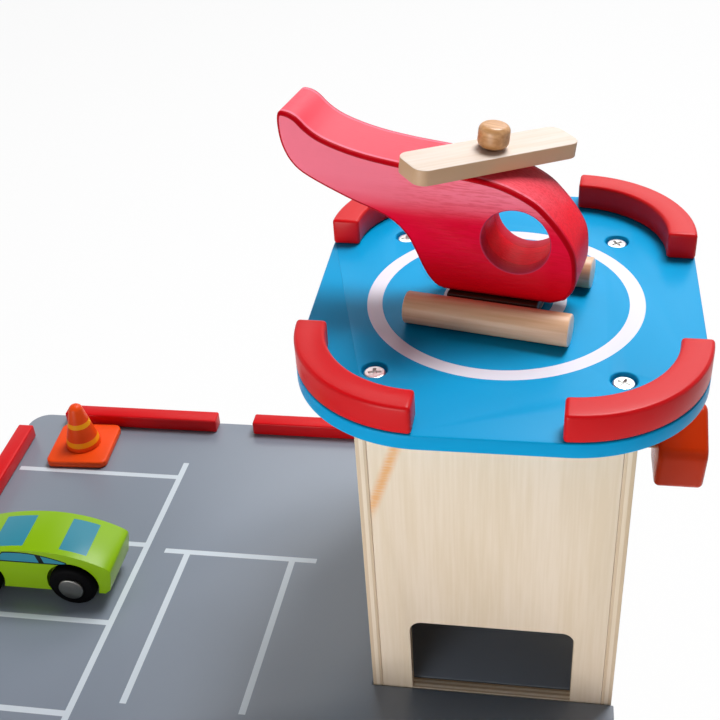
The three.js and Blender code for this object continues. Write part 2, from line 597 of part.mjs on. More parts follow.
const knobBore = bar('z', PIN_RADIUS + FIT_GAP, knobBottom - OVERRUN, pinTop + FIT_GAP, [0, 0]);
add(helicopter, 'rotor_knob', onRotorAxis(cut(knob, [knobBore])), paleWood);
add(helicopter, 'rotor_pin', onRotorAxis(bar('z', PIN_RADIUS, -PIN_DEPTH, pinTop, [0, 0])), paleWood);

// Car: a block with wheel arches, on two steel axles with a rubber wheel at each end, standing in a bay
const CAR_KERB_GAP = 3.2;
const CAR_PLACE = [GARAGE_LEFT + KERB_WIDTH + CAR_KERB_GAP, -6];
const CAR_LENGTH = 85;
const CAR_WIDTH = 27;
const CAR_BODY_HEIGHT = 24.8;
const CAR_SILL = 6.3;
const CAR_EDGE = 1.2;
const CAR_WHEEL_RADIUS = 11.4;
const CAR_WHEEL_WIDTH = 6.8;
const CAR_TRACK = 32.4;
const CAR_FRONT_OVERHANG = 18;
const CAR_REAR_OVERHANG = 19.8;
const ARCH_GAP = 1.2;
const ARCH_DEPTH_GAP = 0.8;
const CAR_AXLE_RADIUS = 1.6;
const HUB_RADIUS = 6;
const HUB_THICKNESS = 1.2;
const ARCH_SIDES = 32;
const WHEEL_SIDES = 28;

// The body's side outline, from the front of the sill to its back and round over the roof, as shares of the
// body's length from the front and of its height
const carOutlineShares = [
  [0.025, 0], [0.944, 0], [0.977, 0.107], [0.998, 0.49], [0.99, 0.63], [0.904, 0.785], [0.79, 0.915],
  [0.68, 0.98], [0.576, 1], [0.463, 0.98], [0.332, 0.91], [0.2, 0.79], [0.09, 0.66], [0.012, 0.5],
  [0, 0.16],
];
const CAR_CORNER_REACH = 1;
const carOutline = softened(carOutlineShares.map(([along, up]) => new THREE.Vector2(
  along * CAR_LENGTH, CAR_SILL + up * CAR_BODY_HEIGHT,
)), CAR_CORNER_REACH);

const car = new THREE.Group();
car.position.set(...CAR_PLACE, ROOF_TOP + GLUE_LINE);
garage.add(car);

const carAxles = { front: CAR_FRONT_OVERHANG, rear: CAR_LENGTH - CAR_REAR_OVERHANG };
const carSides = { near: -1, far: 1 };
const pocketFloor = CAR_TRACK / 2 - CAR_WHEEL_WIDTH - ARCH_DEPTH_GAP;
const carCuts = Object.values(carAxles).flatMap((x) => [
  bar('y', CAR_WHEEL_RADIUS + ARCH_GAP, pocketFloor, CAR_WIDTH, [x, CAR_WHEEL_RADIUS], ARCH_SIDES),
  bar('y', CAR_WHEEL_RADIUS + ARCH_GAP, -CAR_WIDTH, -pocketFloor, [x, CAR_WHEEL_RADIUS], ARCH_SIDES),
  bar('y', CAR_AXLE_RADIUS + RUNNING_GAP, -CAR_WIDTH, CAR_WIDTH, [x, CAR_WHEEL_RADIUS]),
]);
const carBlank = facingFront(plate(carOutline, CAR_WIDTH, [], CAR_EDGE), -CAR_WIDTH / 2, CAR_WIDTH);
add(car, 'car_body', cut(carBlank, carCuts), greenPaint);

for (const [end, x] of Object.entries(carAxles)) {
  const middle = [x, CAR_WHEEL_RADIUS];
  const hubInner = CAR_TRACK / 2 + GLUE_LINE;
  const hubOuter = hubInner + HUB_THICKNESS;
  add(car, `car_axle_${end}`, join(bar('y', CAR_AXLE_RADIUS, -hubOuter, hubOuter, middle), [
    bar('y', HUB_RADIUS, hubInner, hubOuter, middle),
    bar('y', HUB_RADIUS, -hubOuter, -hubInner, middle),
  ]), steel);
  for (const [side, sign] of Object.entries(carSides)) {
    const faces = [sign * (CAR_TRACK / 2 - CAR_WHEEL_WIDTH), (sign * CAR_TRACK) / 2].sort((a, b) => a - b);
    add(car, `car_wheel_${end}_${side}`, cut(
      bar('y', CAR_WHEEL_RADIUS, ...faces, middle, WHEEL_SIDES),
      [bar('y', CAR_AXLE_RADIUS + FIT_GAP, faces[0] - OVERRUN, faces[1] + OVERRUN, middle)],
    ), blackRubber);
  }
}

// Traffic cone: a turned cone with a rounded tip on a square base, by the back kerb
const CONE_BASE_SIZE = 33.5;
const CONE_BASE_RADIUS = 4;
const CONE_BASE_THICKNESS = 4;
const CONE_KERB_GAP = 2.7;
const CONE_LEFT_MARGIN = 24;
const CONE_TURN = THREE.MathUtils.degToRad(2.5);
const CONE_FOOT_RADIUS = 9.6;
const CONE_TIP_RADIUS = 4;
const CONE_HEIGHT = 26;
const CONE_STEPS = 24;

const cone = new THREE.Group();
cone.position.set(
  GARAGE_LEFT + CONE_LEFT_MARGIN + CONE_BASE_SIZE / 2,
  GARAGE_BACK - KERB_WIDTH - CONE_KERB_GAP - CONE_BASE_SIZE / 2,
  ROOF_TOP + GLUE_LINE,
);
cone.rotation.z = CONE_TURN;
garage.add(cone);
const coneBaseOutline = around(0, 0, CONE_BASE_SIZE, CONE_BASE_SIZE, CONE_BASE_RADIUS);
add(cone, 'traffic_cone_base', plate(coneBaseOutline, CONE_BASE_THICKNESS), coneOrange);
const coneProfile = [
  new THREE.Vector2(0, 0),
  new THREE.Vector2(CONE_FOOT_RADIUS, 0),
  ...arc(0, CONE_HEIGHT - CONE_TIP_RADIUS, CONE_TIP_RADIUS, 0, Math.PI / 2, CORNER_STEPS).slice(0, -1),
  new THREE.Vector2(0, CONE_HEIGHT),
];
add(cone, 'traffic_cone', new THREE.LatheGeometry(coneProfile, CONE_STEPS)
  .rotateX(Math.PI / 2)
  .translate(0, 0, CONE_BASE_THICKNESS + FIT_GAP), coneOrange);

export default garage;
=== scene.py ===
# A wooden toy parking garage with a lift, a helipad, a helicopter, a car and a traffic cone, in metres.
import json
import math
import bmesh
import bpy
from mathutils import Matrix, Vector


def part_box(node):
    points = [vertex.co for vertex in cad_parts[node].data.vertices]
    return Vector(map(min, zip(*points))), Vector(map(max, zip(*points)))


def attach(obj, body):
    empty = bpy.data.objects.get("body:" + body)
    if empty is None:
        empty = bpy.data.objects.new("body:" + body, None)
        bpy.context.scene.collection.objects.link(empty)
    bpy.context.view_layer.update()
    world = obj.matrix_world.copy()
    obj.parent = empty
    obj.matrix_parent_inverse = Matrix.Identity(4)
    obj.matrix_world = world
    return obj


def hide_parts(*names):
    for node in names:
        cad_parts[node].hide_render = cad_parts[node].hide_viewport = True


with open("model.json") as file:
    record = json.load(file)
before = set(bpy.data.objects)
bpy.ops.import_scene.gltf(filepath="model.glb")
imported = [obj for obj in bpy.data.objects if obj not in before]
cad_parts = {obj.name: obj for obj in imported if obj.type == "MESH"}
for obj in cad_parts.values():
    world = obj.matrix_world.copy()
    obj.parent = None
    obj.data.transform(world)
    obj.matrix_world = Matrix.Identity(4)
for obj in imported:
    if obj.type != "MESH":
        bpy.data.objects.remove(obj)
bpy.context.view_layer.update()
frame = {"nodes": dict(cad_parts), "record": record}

# Camera
# It stands in front of the tower, above it and a little to its left, and looks down on the helipad.
CAMERA_PLACE = Vector((0.1281, -0.3696, 0.6279))
CAMERA_AIM = Vector((-0.15878, 0.80145, -0.57660)).normalized()
CAMERA_ACROSS = Vector((0.98644, 0.15330, -0.05855)).normalized()
CAMERA_LENS = 57.6
CAMERA_SENSOR = 36

camera_up = CAMERA_ACROSS.cross(CAMERA_AIM)
camera = bpy.data.objects.new("camera", bpy.data.cameras.new("camera"))
camera.data.lens = CAMERA_LENS
camera.data.sensor_width = CAMERA_SENSOR
camera.rotation_euler = Matrix((CAMERA_ACROSS, camera_up, -CAMERA_AIM)).transposed().to_euler()
camera.location = CAMERA_PLACE
bpy.context.scene.collection.objects.link(camera)
bpy.context.scene.camera = camera
bpy.context.scene.view_settings.view_transform = "Standard"


# Studio
# A white room: a pale floor, a soft lamp over the garage, two weaker ones behind it that give the paint its
# sheen, and a low one in front, to the left. Gloss mirrors a room that is white low down and dark above.
WHITE = (1, 1, 1, 1)
FLOOR_SIZE = 8
FLOOR_COLOUR = "f4f4f4"
FLOOR_GLOW_SHARE = 0.9
ROOM_COLOUR = "eef3fa"
ROOM_STRENGTH = 0.14
BACKDROP_TOP = 0.44
CEILING_START = 0.66
BACKDROP_GLARE = 1
CEILING_GLARE = 0.08
LAMP_PLACES = {
    "overhead": (0.45, 0.70, 1.95), "back": (0.62, 1.85, 1.65), "left": (-0.32, 1.75, 1.95),
    "front": (-0.6, -1.5, 0.28),
}
LAMP_SIZES = {"overhead": 0.65, "back": 1.0, "left": 0.8, "front": 0.9}
LAMP_POWERS = {"overhead": 31, "back": 9, "left": 6, "front": 19}
LAMP_TARGET = Vector((0.05, 0, 0.3))


def linear(hex_colour):
    """An sRGB hex colour as the linear values that shaders take."""
    shares = [int(hex_colour[i:i + 2], 16) / 255 for i in (0, 2, 4)]
    return [s / 12.92 if s <= 0.04045 else ((s + 0.055) / 1.055) ** 2.4 for s in shares] + [1]


def add(tree, kind, inputs, result=None, **settings):
    """Adds a node and gives one of its outputs; an input is a value, or the output that it is joined to."""
    made = tree.nodes.new(kind)
    for name, value in settings.items():
        setattr(made, name, value)
    for name, value in inputs.items():
        socket = made.inputs[name] if isinstance(name, int) else next(
            one for one in made.inputs if one.enabled and one.name == name
        )
        if isinstance(value, bpy.types.NodeSocket):
            tree.links.new(value, socket)
        else:
            socket.default_value = value
    return next(one for one in made.outputs if one.enabled and result in (None, one.name))


def maths(tree, operation, *values):
    """Adds a sum, a comparison or the like of one to three values, and gives its result."""
    return add(tree, "ShaderNodeMath", dict(enumerate(values)), operation=operation)


def chained(tree, operation, values):
    """Joins values by one operation, two at a time, and gives the result."""
    result = values[0]
    for value in values[1:]:
        result = maths(tree, operation, result, value)
    return result


def between(tree, value, start, end):
    """1 where a value lies between two others."""
    return maths(tree, "COMPARE", value, (start + end) / 2, (end - start) / 2)


def ramp(tree, value, source, result=(0, 1), **settings):
    """Adds a ramp from one range of a value to another, and gives its result."""
    return add(tree, "ShaderNodeMapRange", {
        "Value": value, "From Min": source[0], "From Max": source[1],
        "To Min": result[0], "To Max": result[1],
    }, **settings)


def smooth_ramp(tree, value, source):
    """Adds a ramp from 0 to 1 that eases in and out, and gives its result."""
    return ramp(tree, value, source, interpolation_type="SMOOTHSTEP")


def mixed(tree, share, below, above):
    """Adds a mix of two colours, and gives its result."""
    return add(tree, "ShaderNodeMix", {"Factor": share, "A": below, "B": above}, data_type="RGBA")


def noise(tree, place, size, detail):
    """Adds noise whose spots have about the given size, and gives its value."""
    return add(tree, "ShaderNodeTexNoise", {"Vector": place, "Scale": 1 / size, "Detail": detail})


def coordinates(tree, kind="Object"):
    """Adds the coordinates of the point that is shaded, or its normal, and gives them."""
    return add(tree, "ShaderNodeTexCoord", {}, kind)


def unplaced(tree, place):
    """The coordinates that a piece's points had before it was moved to its place."""
    return add(tree, "ShaderNodeMapping", {
        "Vector": coordinates(tree), "Location": place.translation, "Rotation": place.to_euler(),
    }, vector_type="TEXTURE")


def part_of(tree, vector, axis):
    """Adds a split of a vector, and gives one of its three parts."""
    return add(tree, "ShaderNodeSeparateXYZ", {"Vector": vector}, axis)


def parts_of(tree, vector):
    """Adds a split of a vector, and gives its three parts."""
    return add(tree, "ShaderNodeSeparateXYZ", {"Vector": vector}).node.outputs


def facing_along(tree, direction):
    """How squarely the surface faces along a direction or against it, from 0 to 1."""
    turned = add(tree, "ShaderNodeVectorMath", {
        0: coordinates(tree, "Normal"), 1: direction,
    }, "Value", operation="DOT_PRODUCT")
    return maths(tree, "ABSOLUTE", turned)


def reach_from(tree, place, middle, flat):
    """The distance from a point, seen along the axis whose share in flat is 0."""
    flattened = add(tree, "ShaderNodeVectorMath", {0: place, 1: flat}, operation="MULTIPLY")
    return add(tree, "ShaderNodeVectorMath", {0: flattened, 1: middle}, "Value", operation="DISTANCE")


def roughen(tree, shader, height, strength, depth):
    """Raises a material's surface by a height from 0 to 1."""
    bump = add(tree, "ShaderNodeBump", {"Strength": strength, "Distance": depth, "Height": height})
    tree.links.new(bump, shader.inputs["Normal"])


def paint_over(material, share, hex_colour):
    """Mixes a colour over a material's own, by a share from 0 to 1."""
    tree = material.node_tree
    base = tree.nodes["Principled BSDF"].inputs["Base Color"]
    tree.links.new(mixed(tree, share, base.links[0].from_socket, linear(hex_colour)), base)


def material_named(name):
    """A new material, with its node tree and its shader."""
    material = bpy.data.materials.new(name)
    material.use_nodes = True
    return material, material.node_tree, material.node_tree.nodes["Principled BSDF"]


def seen_directly(tree):
    """1 for what the camera sees straight or through glass, and 0 for what lights the scene."""
    path = add(tree, "ShaderNodeLightPath", {}).node.outputs
    return maths(tree, "MAXIMUM", path["Is Camera Ray"], path["Is Transmission Ray"])


room = bpy.data.worlds.new("white_room")
room.use_nodes = True
room_tree = room.node_tree
bpy.context.scene.world = room
room_light = room_tree.nodes["Background"]
room_light.inputs["Color"].default_value = linear(ROOM_COLOUR)
room_light.inputs["Strength"].default_value = ROOM_STRENGTH
white_background = add(room_tree, "ShaderNodeBackground", {"Color": WHITE, "Strength": 1})
upwards = part_of(room_tree, coordinates(room_tree, "Generated"), "Z")
glare = ramp(room_tree, upwards, (BACKDROP_TOP, CEILING_START), (BACKDROP_GLARE, CEILING_GLARE))
mirrored_room = add(room_tree, "ShaderNodeBackground", {"Color": WHITE, "Strength": glare})
mirrored = add(room_tree, "ShaderNodeLightPath", {}, "Is Glossy Ray")
room_mix = add(room_tree, "ShaderNodeMixShader", {0: mirrored, 1: room_light.outputs[0], 2: mirrored_room})
room_mix = add(room_tree, "ShaderNodeMixShader", {
    0: seen_directly(room_tree), 1: room_mix, 2: white_background,
})
room_tree.links.new(room_mix, room_tree.nodes["World Output"].inputs["Surface"])

bpy.ops.object.select_all(action="DESELECT")
bpy.ops.mesh.primitive_plane_add(size=FLOOR_SIZE)
floor = bpy.context.object
floor.name = "studio_floor"
white_floor, floor_tree, floor_shader = material_named("matt_white_floor")
floor_shader.inputs["Base Color"].default_value = linear(FLOOR_COLOUR)
floor_shader.inputs["Roughness"].default_value = 1
floor_glow = add(floor_tree, "ShaderNodeEmission", {"Color": WHITE, "Strength": 1})
glow_share = maths(floor_tree, "MULTIPLY", seen_directly(floor_tree), FLOOR_GLOW_SHARE)
floor_mix = add(floor_tree, "ShaderNodeMixShader", {0: glow_share, 1: floor_shader.outputs[0], 2: floor_glow})
floor_tree.links.new(floor_mix, floor_tree.nodes["Material Output"].inputs["Surface"])
floor.data.materials.append(white_floor)

for side, lamp_place in LAMP_PLACES.items():
    lamp = bpy.data.objects.new(f"{side}_lamp", bpy.data.lights.new(f"{side}_lamp", "AREA"))
    lamp.data.size = LAMP_SIZES[side]
    lamp.data.energy = LAMP_POWERS[side]
    lamp.location = lamp_place
    lamp.rotation_euler = (LAMP_TARGET - lamp.location).to_track_quat("-Z", "Y").to_euler()
    bpy.context.scene.collection.objects.link(lamp)


# Base board and decks
# MDF boards with rounded corners and sanded edges, sprayed satin grey; the roof deck's parking lines are
# screen printed over the spray. The boards are glued on the walls and posts between them.
DECK_GREY = "828b98"
LINE_WHITE = "cdd6de"
DECK_GLOSS = 0.7
BOARD_CORNER = 0.011
BOARD_EDGE = 0.0006
CORNER_SEGMENTS = 12
EDGE_SEGMENTS = 3
SHARP_ANGLE = math.radians(35)
ALONG_AXIS = 0.99
FIT_GAP = Vector((0.0003, 0.0003, 0))
LIFT_CLEARANCE = Vector((0.0004, 0.0004, 0))
OVERRUN = 0.002
PAINT_ROUGHNESS = 0.33
PAINT_PEEL = 0.3
PAINT_GLOSS = 0.2
PAINT_DRIFT = 0.06
DRIFT_DETAIL = 3
PAINT_DRIFT_SHARE = 0.93
PAINT_SHEEN_SWING = 0.04
PEEL_SIZE = 0.0011
PEEL_DEPTH = 0.00004
PEEL_DETAIL = 2
LINE_WIDTH = 0.003
BAY_PITCH = 0.0511
LEFT_BAY_COUNT = 4
LEFT_BAY_FIRST_LINE = 0.0474
LEFT_BAY_START = 0.0075
LEFT_BAY_END = 0.0979
LEFT_BAY_OVERHANG = 0.0117
RIGHT_BAY_HEAD = 0.1014
RIGHT_BAY_STARTS = (0.1197, 0.1724)
RIGHT_BAY_OVERHANG = 0.0118
RIGHT_BAY_LENGTH = 0.0915
PRINT_SKEW = 0.036
PRINT_PIVOT = -0.006

body_of_node = {
    node: body for body, nodes in frame["record"]["behaviour"]["bodies"].items() for node in nodes
}


def settled():
    """Applies the place, turn and size of the object just added to its mesh, and gives it."""
    bpy.ops.object.transform_apply(location=True, rotation=True, scale=True)
    return bpy.context.object


def block(low, high):
    """Adds a block between two corners."""
    bpy.ops.object.select_all(action="DESELECT")
    bpy.ops.mesh.primitive_cube_add(size=1, location=(Vector(low) + Vector(high)) / 2)
    bpy.context.object.scale = Vector(high) - Vector(low)
    return settled()


def unit(axis):
    """The unit vector along x, y or z."""
    return Vector([float(i == axis) for i in range(3)])


def choose(kind, rule):
    """Selects the edges or faces of the piece in edit mode that a rule picks."""
    bpy.ops.mesh.select_mode(type=kind)
    bpy.ops.mesh.select_all(action="DESELECT")
    mesh = bmesh.from_edit_mesh(bpy.context.object.data)
    for item in mesh.faces if kind == "FACE" else mesh.edges:
        item.select_set(rule(item))
    bmesh.update_edit_mesh(bpy.context.object.data)


def round_edges(piece, radius, segments, rule):
    """Rounds the edges of a piece that a rule picks."""
    bpy.context.view_layer.objects.active = piece
    bpy.ops.object.mode_set(mode="EDIT")
    choose("EDGE", rule)
    bpy.ops.mesh.bevel(offset=radius, segments=segments, affect="EDGES")
    bpy.ops.object.mode_set(mode="OBJECT")
    return piece


def round_corners(piece, radius, axis, segments=CORNER_SEGMENTS, above=-math.inf):
    """Rounds the edges of a piece that run along an axis, only those above a height where one is given."""
    return round_edges(piece, radius, segments, lambda edge: (
        abs((edge.verts[0].co - edge.verts[1].co).normalized()[axis]) > ALONG_AXIS
        and edge.verts[0].co.z > above
    ))


def all_above(height):
    """The rule that picks the edges that lie above a height."""
    return lambda edge: all(vertex.co.z > height for vertex in edge.verts)


def combine(piece, other, operation):
    """Joins another shape to a piece, or takes it away from the piece, and removes it."""
    step = piece.modifiers.new("step", "BOOLEAN")
    step.object = other
    step.operation = operation
    bpy.context.view_layer.objects.active = piece
    bpy.ops.object.modifier_apply(modifier=step.name)
    bpy.data.objects.remove(other)


def cut_out(piece, cutters):
    """Cuts shapes out of a piece."""
    for cutter in cutters:
        combine(piece, cutter, "DIFFERENCE")
    return piece


def smooth(piece):
    """Smooths what is round on a piece, and leaves its sharp edges."""
    bpy.ops.object.select_all(action="DESELECT")
    piece.select_set(True)
    bpy.context.view_layer.objects.active = piece
    bpy.ops.object.shade_smooth_by_angle(angle=SHARP_ANGLE)
    return piece


def soften(piece, width, segments=EDGE_SEGMENTS):
    """Rounds a piece's sharp edges, as sanding and paint do, and smooths what is round."""
    bevel = piece.modifiers.new("edge", "BEVEL")
    bevel.width = width
    bevel.segments = segments
    bevel.limit_method = "ANGLE"
    bevel.angle_limit = SHARP_ANGLE
    bpy.context.view_layer.objects.active = piece
    bpy.ops.object.modifier_apply(modifier=bevel.name)
    return smooth(piece)


def fit(piece, node, material, place=Matrix()):
    """Puts a finished piece in the place of its CAD node, with that node's body and finish."""
    piece.data.transform(place)
    piece.name = f"{node}_finished"
    piece.data.materials.clear()
    piece.data.materials.append(material)
    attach(piece, body_of_node[node])
    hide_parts(node)


def satin_paint(
    name, colour, printed=None, ink=None, roughness=PAINT_ROUGHNESS, peel=PAINT_PEEL, gloss=PAINT_GLOSS,
):
    """Sprayed enamel: an even colour that drifts a little, a faint orange peel and a soft white sheen."""
    material, tree, shader = material_named(name)
    place = coordinates(tree)
    drift = noise(tree, place, PAINT_DRIFT, DRIFT_DETAIL)
    full = linear(colour)
    thin = [value * PAINT_DRIFT_SHARE for value in full[:3]] + [1]
    coat = mixed(tree, drift, thin, full)
    if printed:
        coat = mixed(tree, printed(tree, place), coat, linear(ink))
    tree.links.new(coat, shader.inputs["Base Color"])
    sheen = ramp(tree, drift, (0, 1), (roughness - PAINT_SHEEN_SWING, roughness + PAINT_SHEEN_SWING))
    tree.links.new(sheen, shader.inputs["Roughness"])
    shader.inputs["Specular IOR Level"].default_value = gloss
    roughen(tree, shader, noise(tree, place, PEEL_SIZE, PEEL_DETAIL), peel, PEEL_DEPTH)
    return material


deck_low, deck_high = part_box("roof_deck")


def parking_lines(tree, place):
    """1 on the printed lines, a little askew: bays along the left side, and to the front beside the tower."""
    bay_start = deck_low.x + LEFT_BAY_START
    bay_end = deck_low.x + LEFT_BAY_END
    first_line = deck_high.y - LEFT_BAY_FIRST_LINE
    lines = [
        ((bay_start + bay_end) / 2, (bay_end - bay_start) / 2, first_line - i * BAY_PITCH, LINE_WIDTH / 2)
        for i in range(LEFT_BAY_COUNT)
    ]
    column_back = first_line + LEFT_BAY_OVERHANG
    lines.append((bay_end, LINE_WIDTH / 2, (column_back + deck_low.y) / 2, (column_back - deck_low.y) / 2))
    head = deck_high.y - RIGHT_BAY_HEAD
    starts = [deck_low.x + start for start in RIGHT_BAY_STARTS]
    half_head = (starts[-1] - starts[0]) / 2 + RIGHT_BAY_OVERHANG
    lines.append(((starts[0] + starts[-1]) / 2, half_head, head, LINE_WIDTH / 2))
    lines += [(x, LINE_WIDTH / 2, head - RIGHT_BAY_LENGTH / 2, RIGHT_BAY_LENGTH / 2) for x in starts]
    across = parts_of(tree, place)
    ahead = maths(tree, "SUBTRACT", across["Y"], PRINT_PIVOT)
    straight = maths(tree, "MULTIPLY_ADD", ahead, -PRINT_SKEW, across["X"])
    inked = chained(tree, "MAXIMUM", [
        maths(
            tree, "MULTIPLY", maths(tree, "COMPARE", straight, x, half_width),
            maths(tree, "COMPARE", across["Y"], y, half_depth),
        )
        for x, half_width, y, half_depth in lines
    ])
    on_top = maths(tree, "GREATER_THAN", across["Z"], deck_high.z - BOARD_EDGE)
    return maths(tree, "MULTIPLY", inked, on_top)


grey_enamel = satin_paint("satin_grey_enamel_on_mdf", DECK_GREY, gloss=DECK_GLOSS)
printed_enamel = satin_paint(
    "printed_grey_enamel_on_mdf", DECK_GREY, parking_lines, LINE_WHITE, gloss=DECK_GLOSS,
)

tower_low, tower_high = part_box("tower_left_panel")[0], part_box("tower_right_panel")[1]
platform_low, platform_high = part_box("lift_platform")
for node, coat in (("base_board", grey_enamel), ("first_deck", grey_enamel), ("roof_deck", printed_enamel)):
    low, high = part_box(node)
    board = round_corners(block(low, high), BOARD_CORNER, axis=2)
    if node == "base_board":
        hole_low, hole_high = platform_low - LIFT_CLEARANCE, platform_high + LIFT_CLEARANCE
    else:
        hole_low, hole_high = tower_low - FIT_GAP, tower_high + FIT_GAP
        hole_high.x = high.x + OVERRUN
    hole = block((hole_low.x, hole_low.y, low.z - OVERRUN), (hole_high.x, hole_high.y, high.z + OVERRUN))
    fit(soften(cut_out(board, [hole]), BOARD_EDGE), node, coat)


# Storey walls and posts
# Birch plywood walls at the back and the left with rows of round-cornered windows, and turned beech posts at
# the front, all glued between the boards and left bare under a clear coat.
PLYWOOD_PALE = "e8d6b8"
PLYWOOD_TAN = "d6bd93"
PLY_GLUE = "a98258"
PLY_LAYERS = 5
PLY_EDGE = 0.0003
WINDOW_SIZE = 0.040
WINDOW_RADIUS = 0.008
WINDOW_SILL = 0.032
WINDOWS = {"left_wall": (1, 2), "back_wall": (0, 3)}
BEECH_PALE = "dcb88d"
BEECH_TAN = "c79a6c"
WOOD_ROUGHNESS = 0.5
GRAIN_ACROSS = 0.0012
GRAIN_ALONG = 0.030
GRAIN_DETAIL = 4
GRAIN_STRENGTH = 0.3
GRAIN_DEPTH = 0.0001
GRAIN_RANGE = (0.75, 1.25)
FIGURE_ACROSS = 0.008
FIGURE_ALONG = 0.120
FIGURE_DETAIL = 2
EDGE_FACING = 0.5
GLUE_STRENGTH = 0.6
END_FACING = (0.4, 0.8)
SIDE_FACING = (0.75, 0.35)
DOWEL_SIDES = 64
DOWEL_EDGE = 0.0008


def wood_grain(tree, place, across, along, axis, detail):
    """Noise drawn out along one axis, as wood fibres are."""
    stretch = [across] * 3
    stretch[axis] = along
    drawn = add(tree, "ShaderNodeMapping", {"Vector": place, "Scale": stretch}, vector_type="TEXTURE")
    return noise(tree, drawn, 1, detail)


def bare_wood(
    name, pale, tan, grain_axis, layers=None, glue=None, turn=Matrix(), roughness=WOOD_ROUGHNESS, side=None,
    end_grain=None,
):
    """Sanded wood under a thin clear coat: fibres and slow figure, and on plywood the layers at its edges."""
    material, tree, shader = material_named(name)
    place = unplaced(tree, turn)
    fibres = wood_grain(tree, place, GRAIN_ACROSS, GRAIN_ALONG, grain_axis, GRAIN_DETAIL)
    figure = wood_grain(tree, place, FIGURE_ACROSS, FIGURE_ALONG, grain_axis, FIGURE_DETAIL)
    share = ramp(tree, maths(tree, "ADD", fibres, figure), GRAIN_RANGE)
    colour = mixed(tree, share, linear(tan), linear(pale))
    if layers:
        axis, start, thickness = layers
        depth = part_of(tree, place, "XYZ"[axis])
        layer = ramp(tree, depth, (start, start + thickness), (0, PLY_LAYERS), clamp=False)
        layer = maths(tree, "FLOORED_MODULO", layer, 2)
        crossed = maths(tree, "LESS_THAN", layer, 1)
        edge = maths(tree, "LESS_THAN", facing_along(tree, unit(axis)), EDGE_FACING)
        at_edge = chained(tree, "MULTIPLY", [edge, crossed, GLUE_STRENGTH])
        colour = mixed(tree, at_edge, colour, linear(glue))
    if end_grain:
        along = facing_along(tree, turn.to_3x3() @ unit(grain_axis))
        colour = mixed(tree, ramp(tree, along, END_FACING), colour, linear(end_grain))
    if side:
        upwards = part_of(tree, coordinates(tree, "Normal"), "Z")
        colour = mixed(tree, ramp(tree, upwards, SIDE_FACING), colour, linear(side))
    tree.links.new(colour, shader.inputs["Base Color"])
    shader.inputs["Roughness"].default_value = roughness
    roughen(tree, shader, fibres, GRAIN_STRENGTH, GRAIN_DEPTH)
    return material


def plywood(node, ply_axis, pale=PLYWOOD_PALE, tan=PLYWOOD_TAN, glue=PLY_GLUE, grain_axis=2):
    """Birch plywood for the panel of a CAD node, its layers glued together along one axis."""
    low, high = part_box(node)
    return bare_wood(
        f"birch_plywood_{node}", pale, tan, grain_axis,
        layers=(ply_axis, low[ply_axis], high[ply_axis] - low[ply_axis]), glue=glue,
    )


def dowel(node, axis, edge=DOWEL_EDGE):
    """A round bar in its CAD node's box, with its rims rounded."""
    low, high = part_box(node)
    size = high - low
    upright = unit(2).rotation_difference(unit(axis))
    bpy.ops.object.select_all(action="DESELECT")
    bpy.ops.mesh.primitive_cylinder_add(
        vertices=DOWEL_SIDES, radius=size[(axis + 1) % 3] / 2, depth=size[axis],
        location=(low + high) / 2, rotation=upright.to_euler(),
    )
    return soften(settled(), edge)


beech_post = bare_wood("clear_coated_beech_posts", BEECH_PALE, BEECH_TAN, grain_axis=2)
for storey in ("lower", "upper"):
    for wall, (axis, count) in WINDOWS.items():
        node = f"{wall}_{storey}"
        low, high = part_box(node)
        panel = block(low, high)
        pitch = (high[axis] - low[axis]) / count
        windows = []
        for i in range(count):
            window_low = low - Vector((OVERRUN, OVERRUN, 0))
            window_high = high + Vector((OVERRUN, OVERRUN, 0))
            window_low[axis] = low[axis] + (i + 1 / 2) * pitch - WINDOW_SIZE / 2
            window_high[axis] = window_low[axis] + WINDOW_SIZE
            window_low.z = low.z + WINDOW_SILL
            window_high.z = window_low.z + WINDOW_SIZE
            windows.append(round_corners(block(window_low, window_high), WINDOW_RADIUS, 1 - axis))
        fit(soften(cut_out(panel, windows), PLY_EDGE), node, plywood(node, 1 - axis))
    for post in (f"middle_post_{storey}", f"right_post_{storey}"):
        fit(dowel(post, axis=2), post, beech_post)


# Lift tower
# Two birch plywood side panels with rabbets, and thinner front and back panels glued into these; the front
# one has a doorway with rounded top corners at each floor. The crank's axle runs through both sides.
PANEL_GAP = Vector((0.0001, 0.0001, 0))
TOWER_GLUE = "cdb08a"
DOOR_WIDTH = 0.066
DOOR_HEIGHT = 0.0405
DOOR_RADIUS = 0.005
TOWER_PALE = "f4e2cb"
TOWER_TAN = "ecd8bc"
SAP_ORANGE = "eeb070"
SAP_TOP = Vector((0.0755, 0, 0.3605))
SAP_FOOT = Vector((0.0650, 0, 0.3290))
SAP_HALF_WIDTH = 0.0036
SAP_FADE = 0.008
SAP_ACROSS = 0.0007
SAP_ALONG = 0.007
SAP_DETAIL = 3
SAP_STRENGTH = 1.8
AXLE_PLAY = 0.0005
BORE_SIDES = 48


def bore(radius, start, end):
    """A round cutter from one point to another."""
    way = Vector(end) - Vector(start)
    bpy.ops.object.select_all(action="DESELECT")
    bpy.ops.mesh.primitive_cylinder_add(
        vertices=BORE_SIDES, radius=radius, depth=way.length,
        location=(Vector(start) + Vector(end)) / 2, rotation=way.to_track_quat("Z", "Y").to_euler(),
    )
    return bpy.context.object


def upright_bore(radius, middle, bottom, top):
    """A round cutter that stands upright round a point, from one height to another."""
    return bore(radius, (middle.x, middle.y, bottom), (middle.x, middle.y, top))


front_low, front_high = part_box("tower_front_panel")
back_low, back_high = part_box("tower_back_panel")
axle_low, axle_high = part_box("crank_axle")
axle_middle = (axle_low + axle_high) / 2
axle_radius = (axle_high.z - axle_low.z) / 2
rise = Vector((0, 0, OVERRUN))


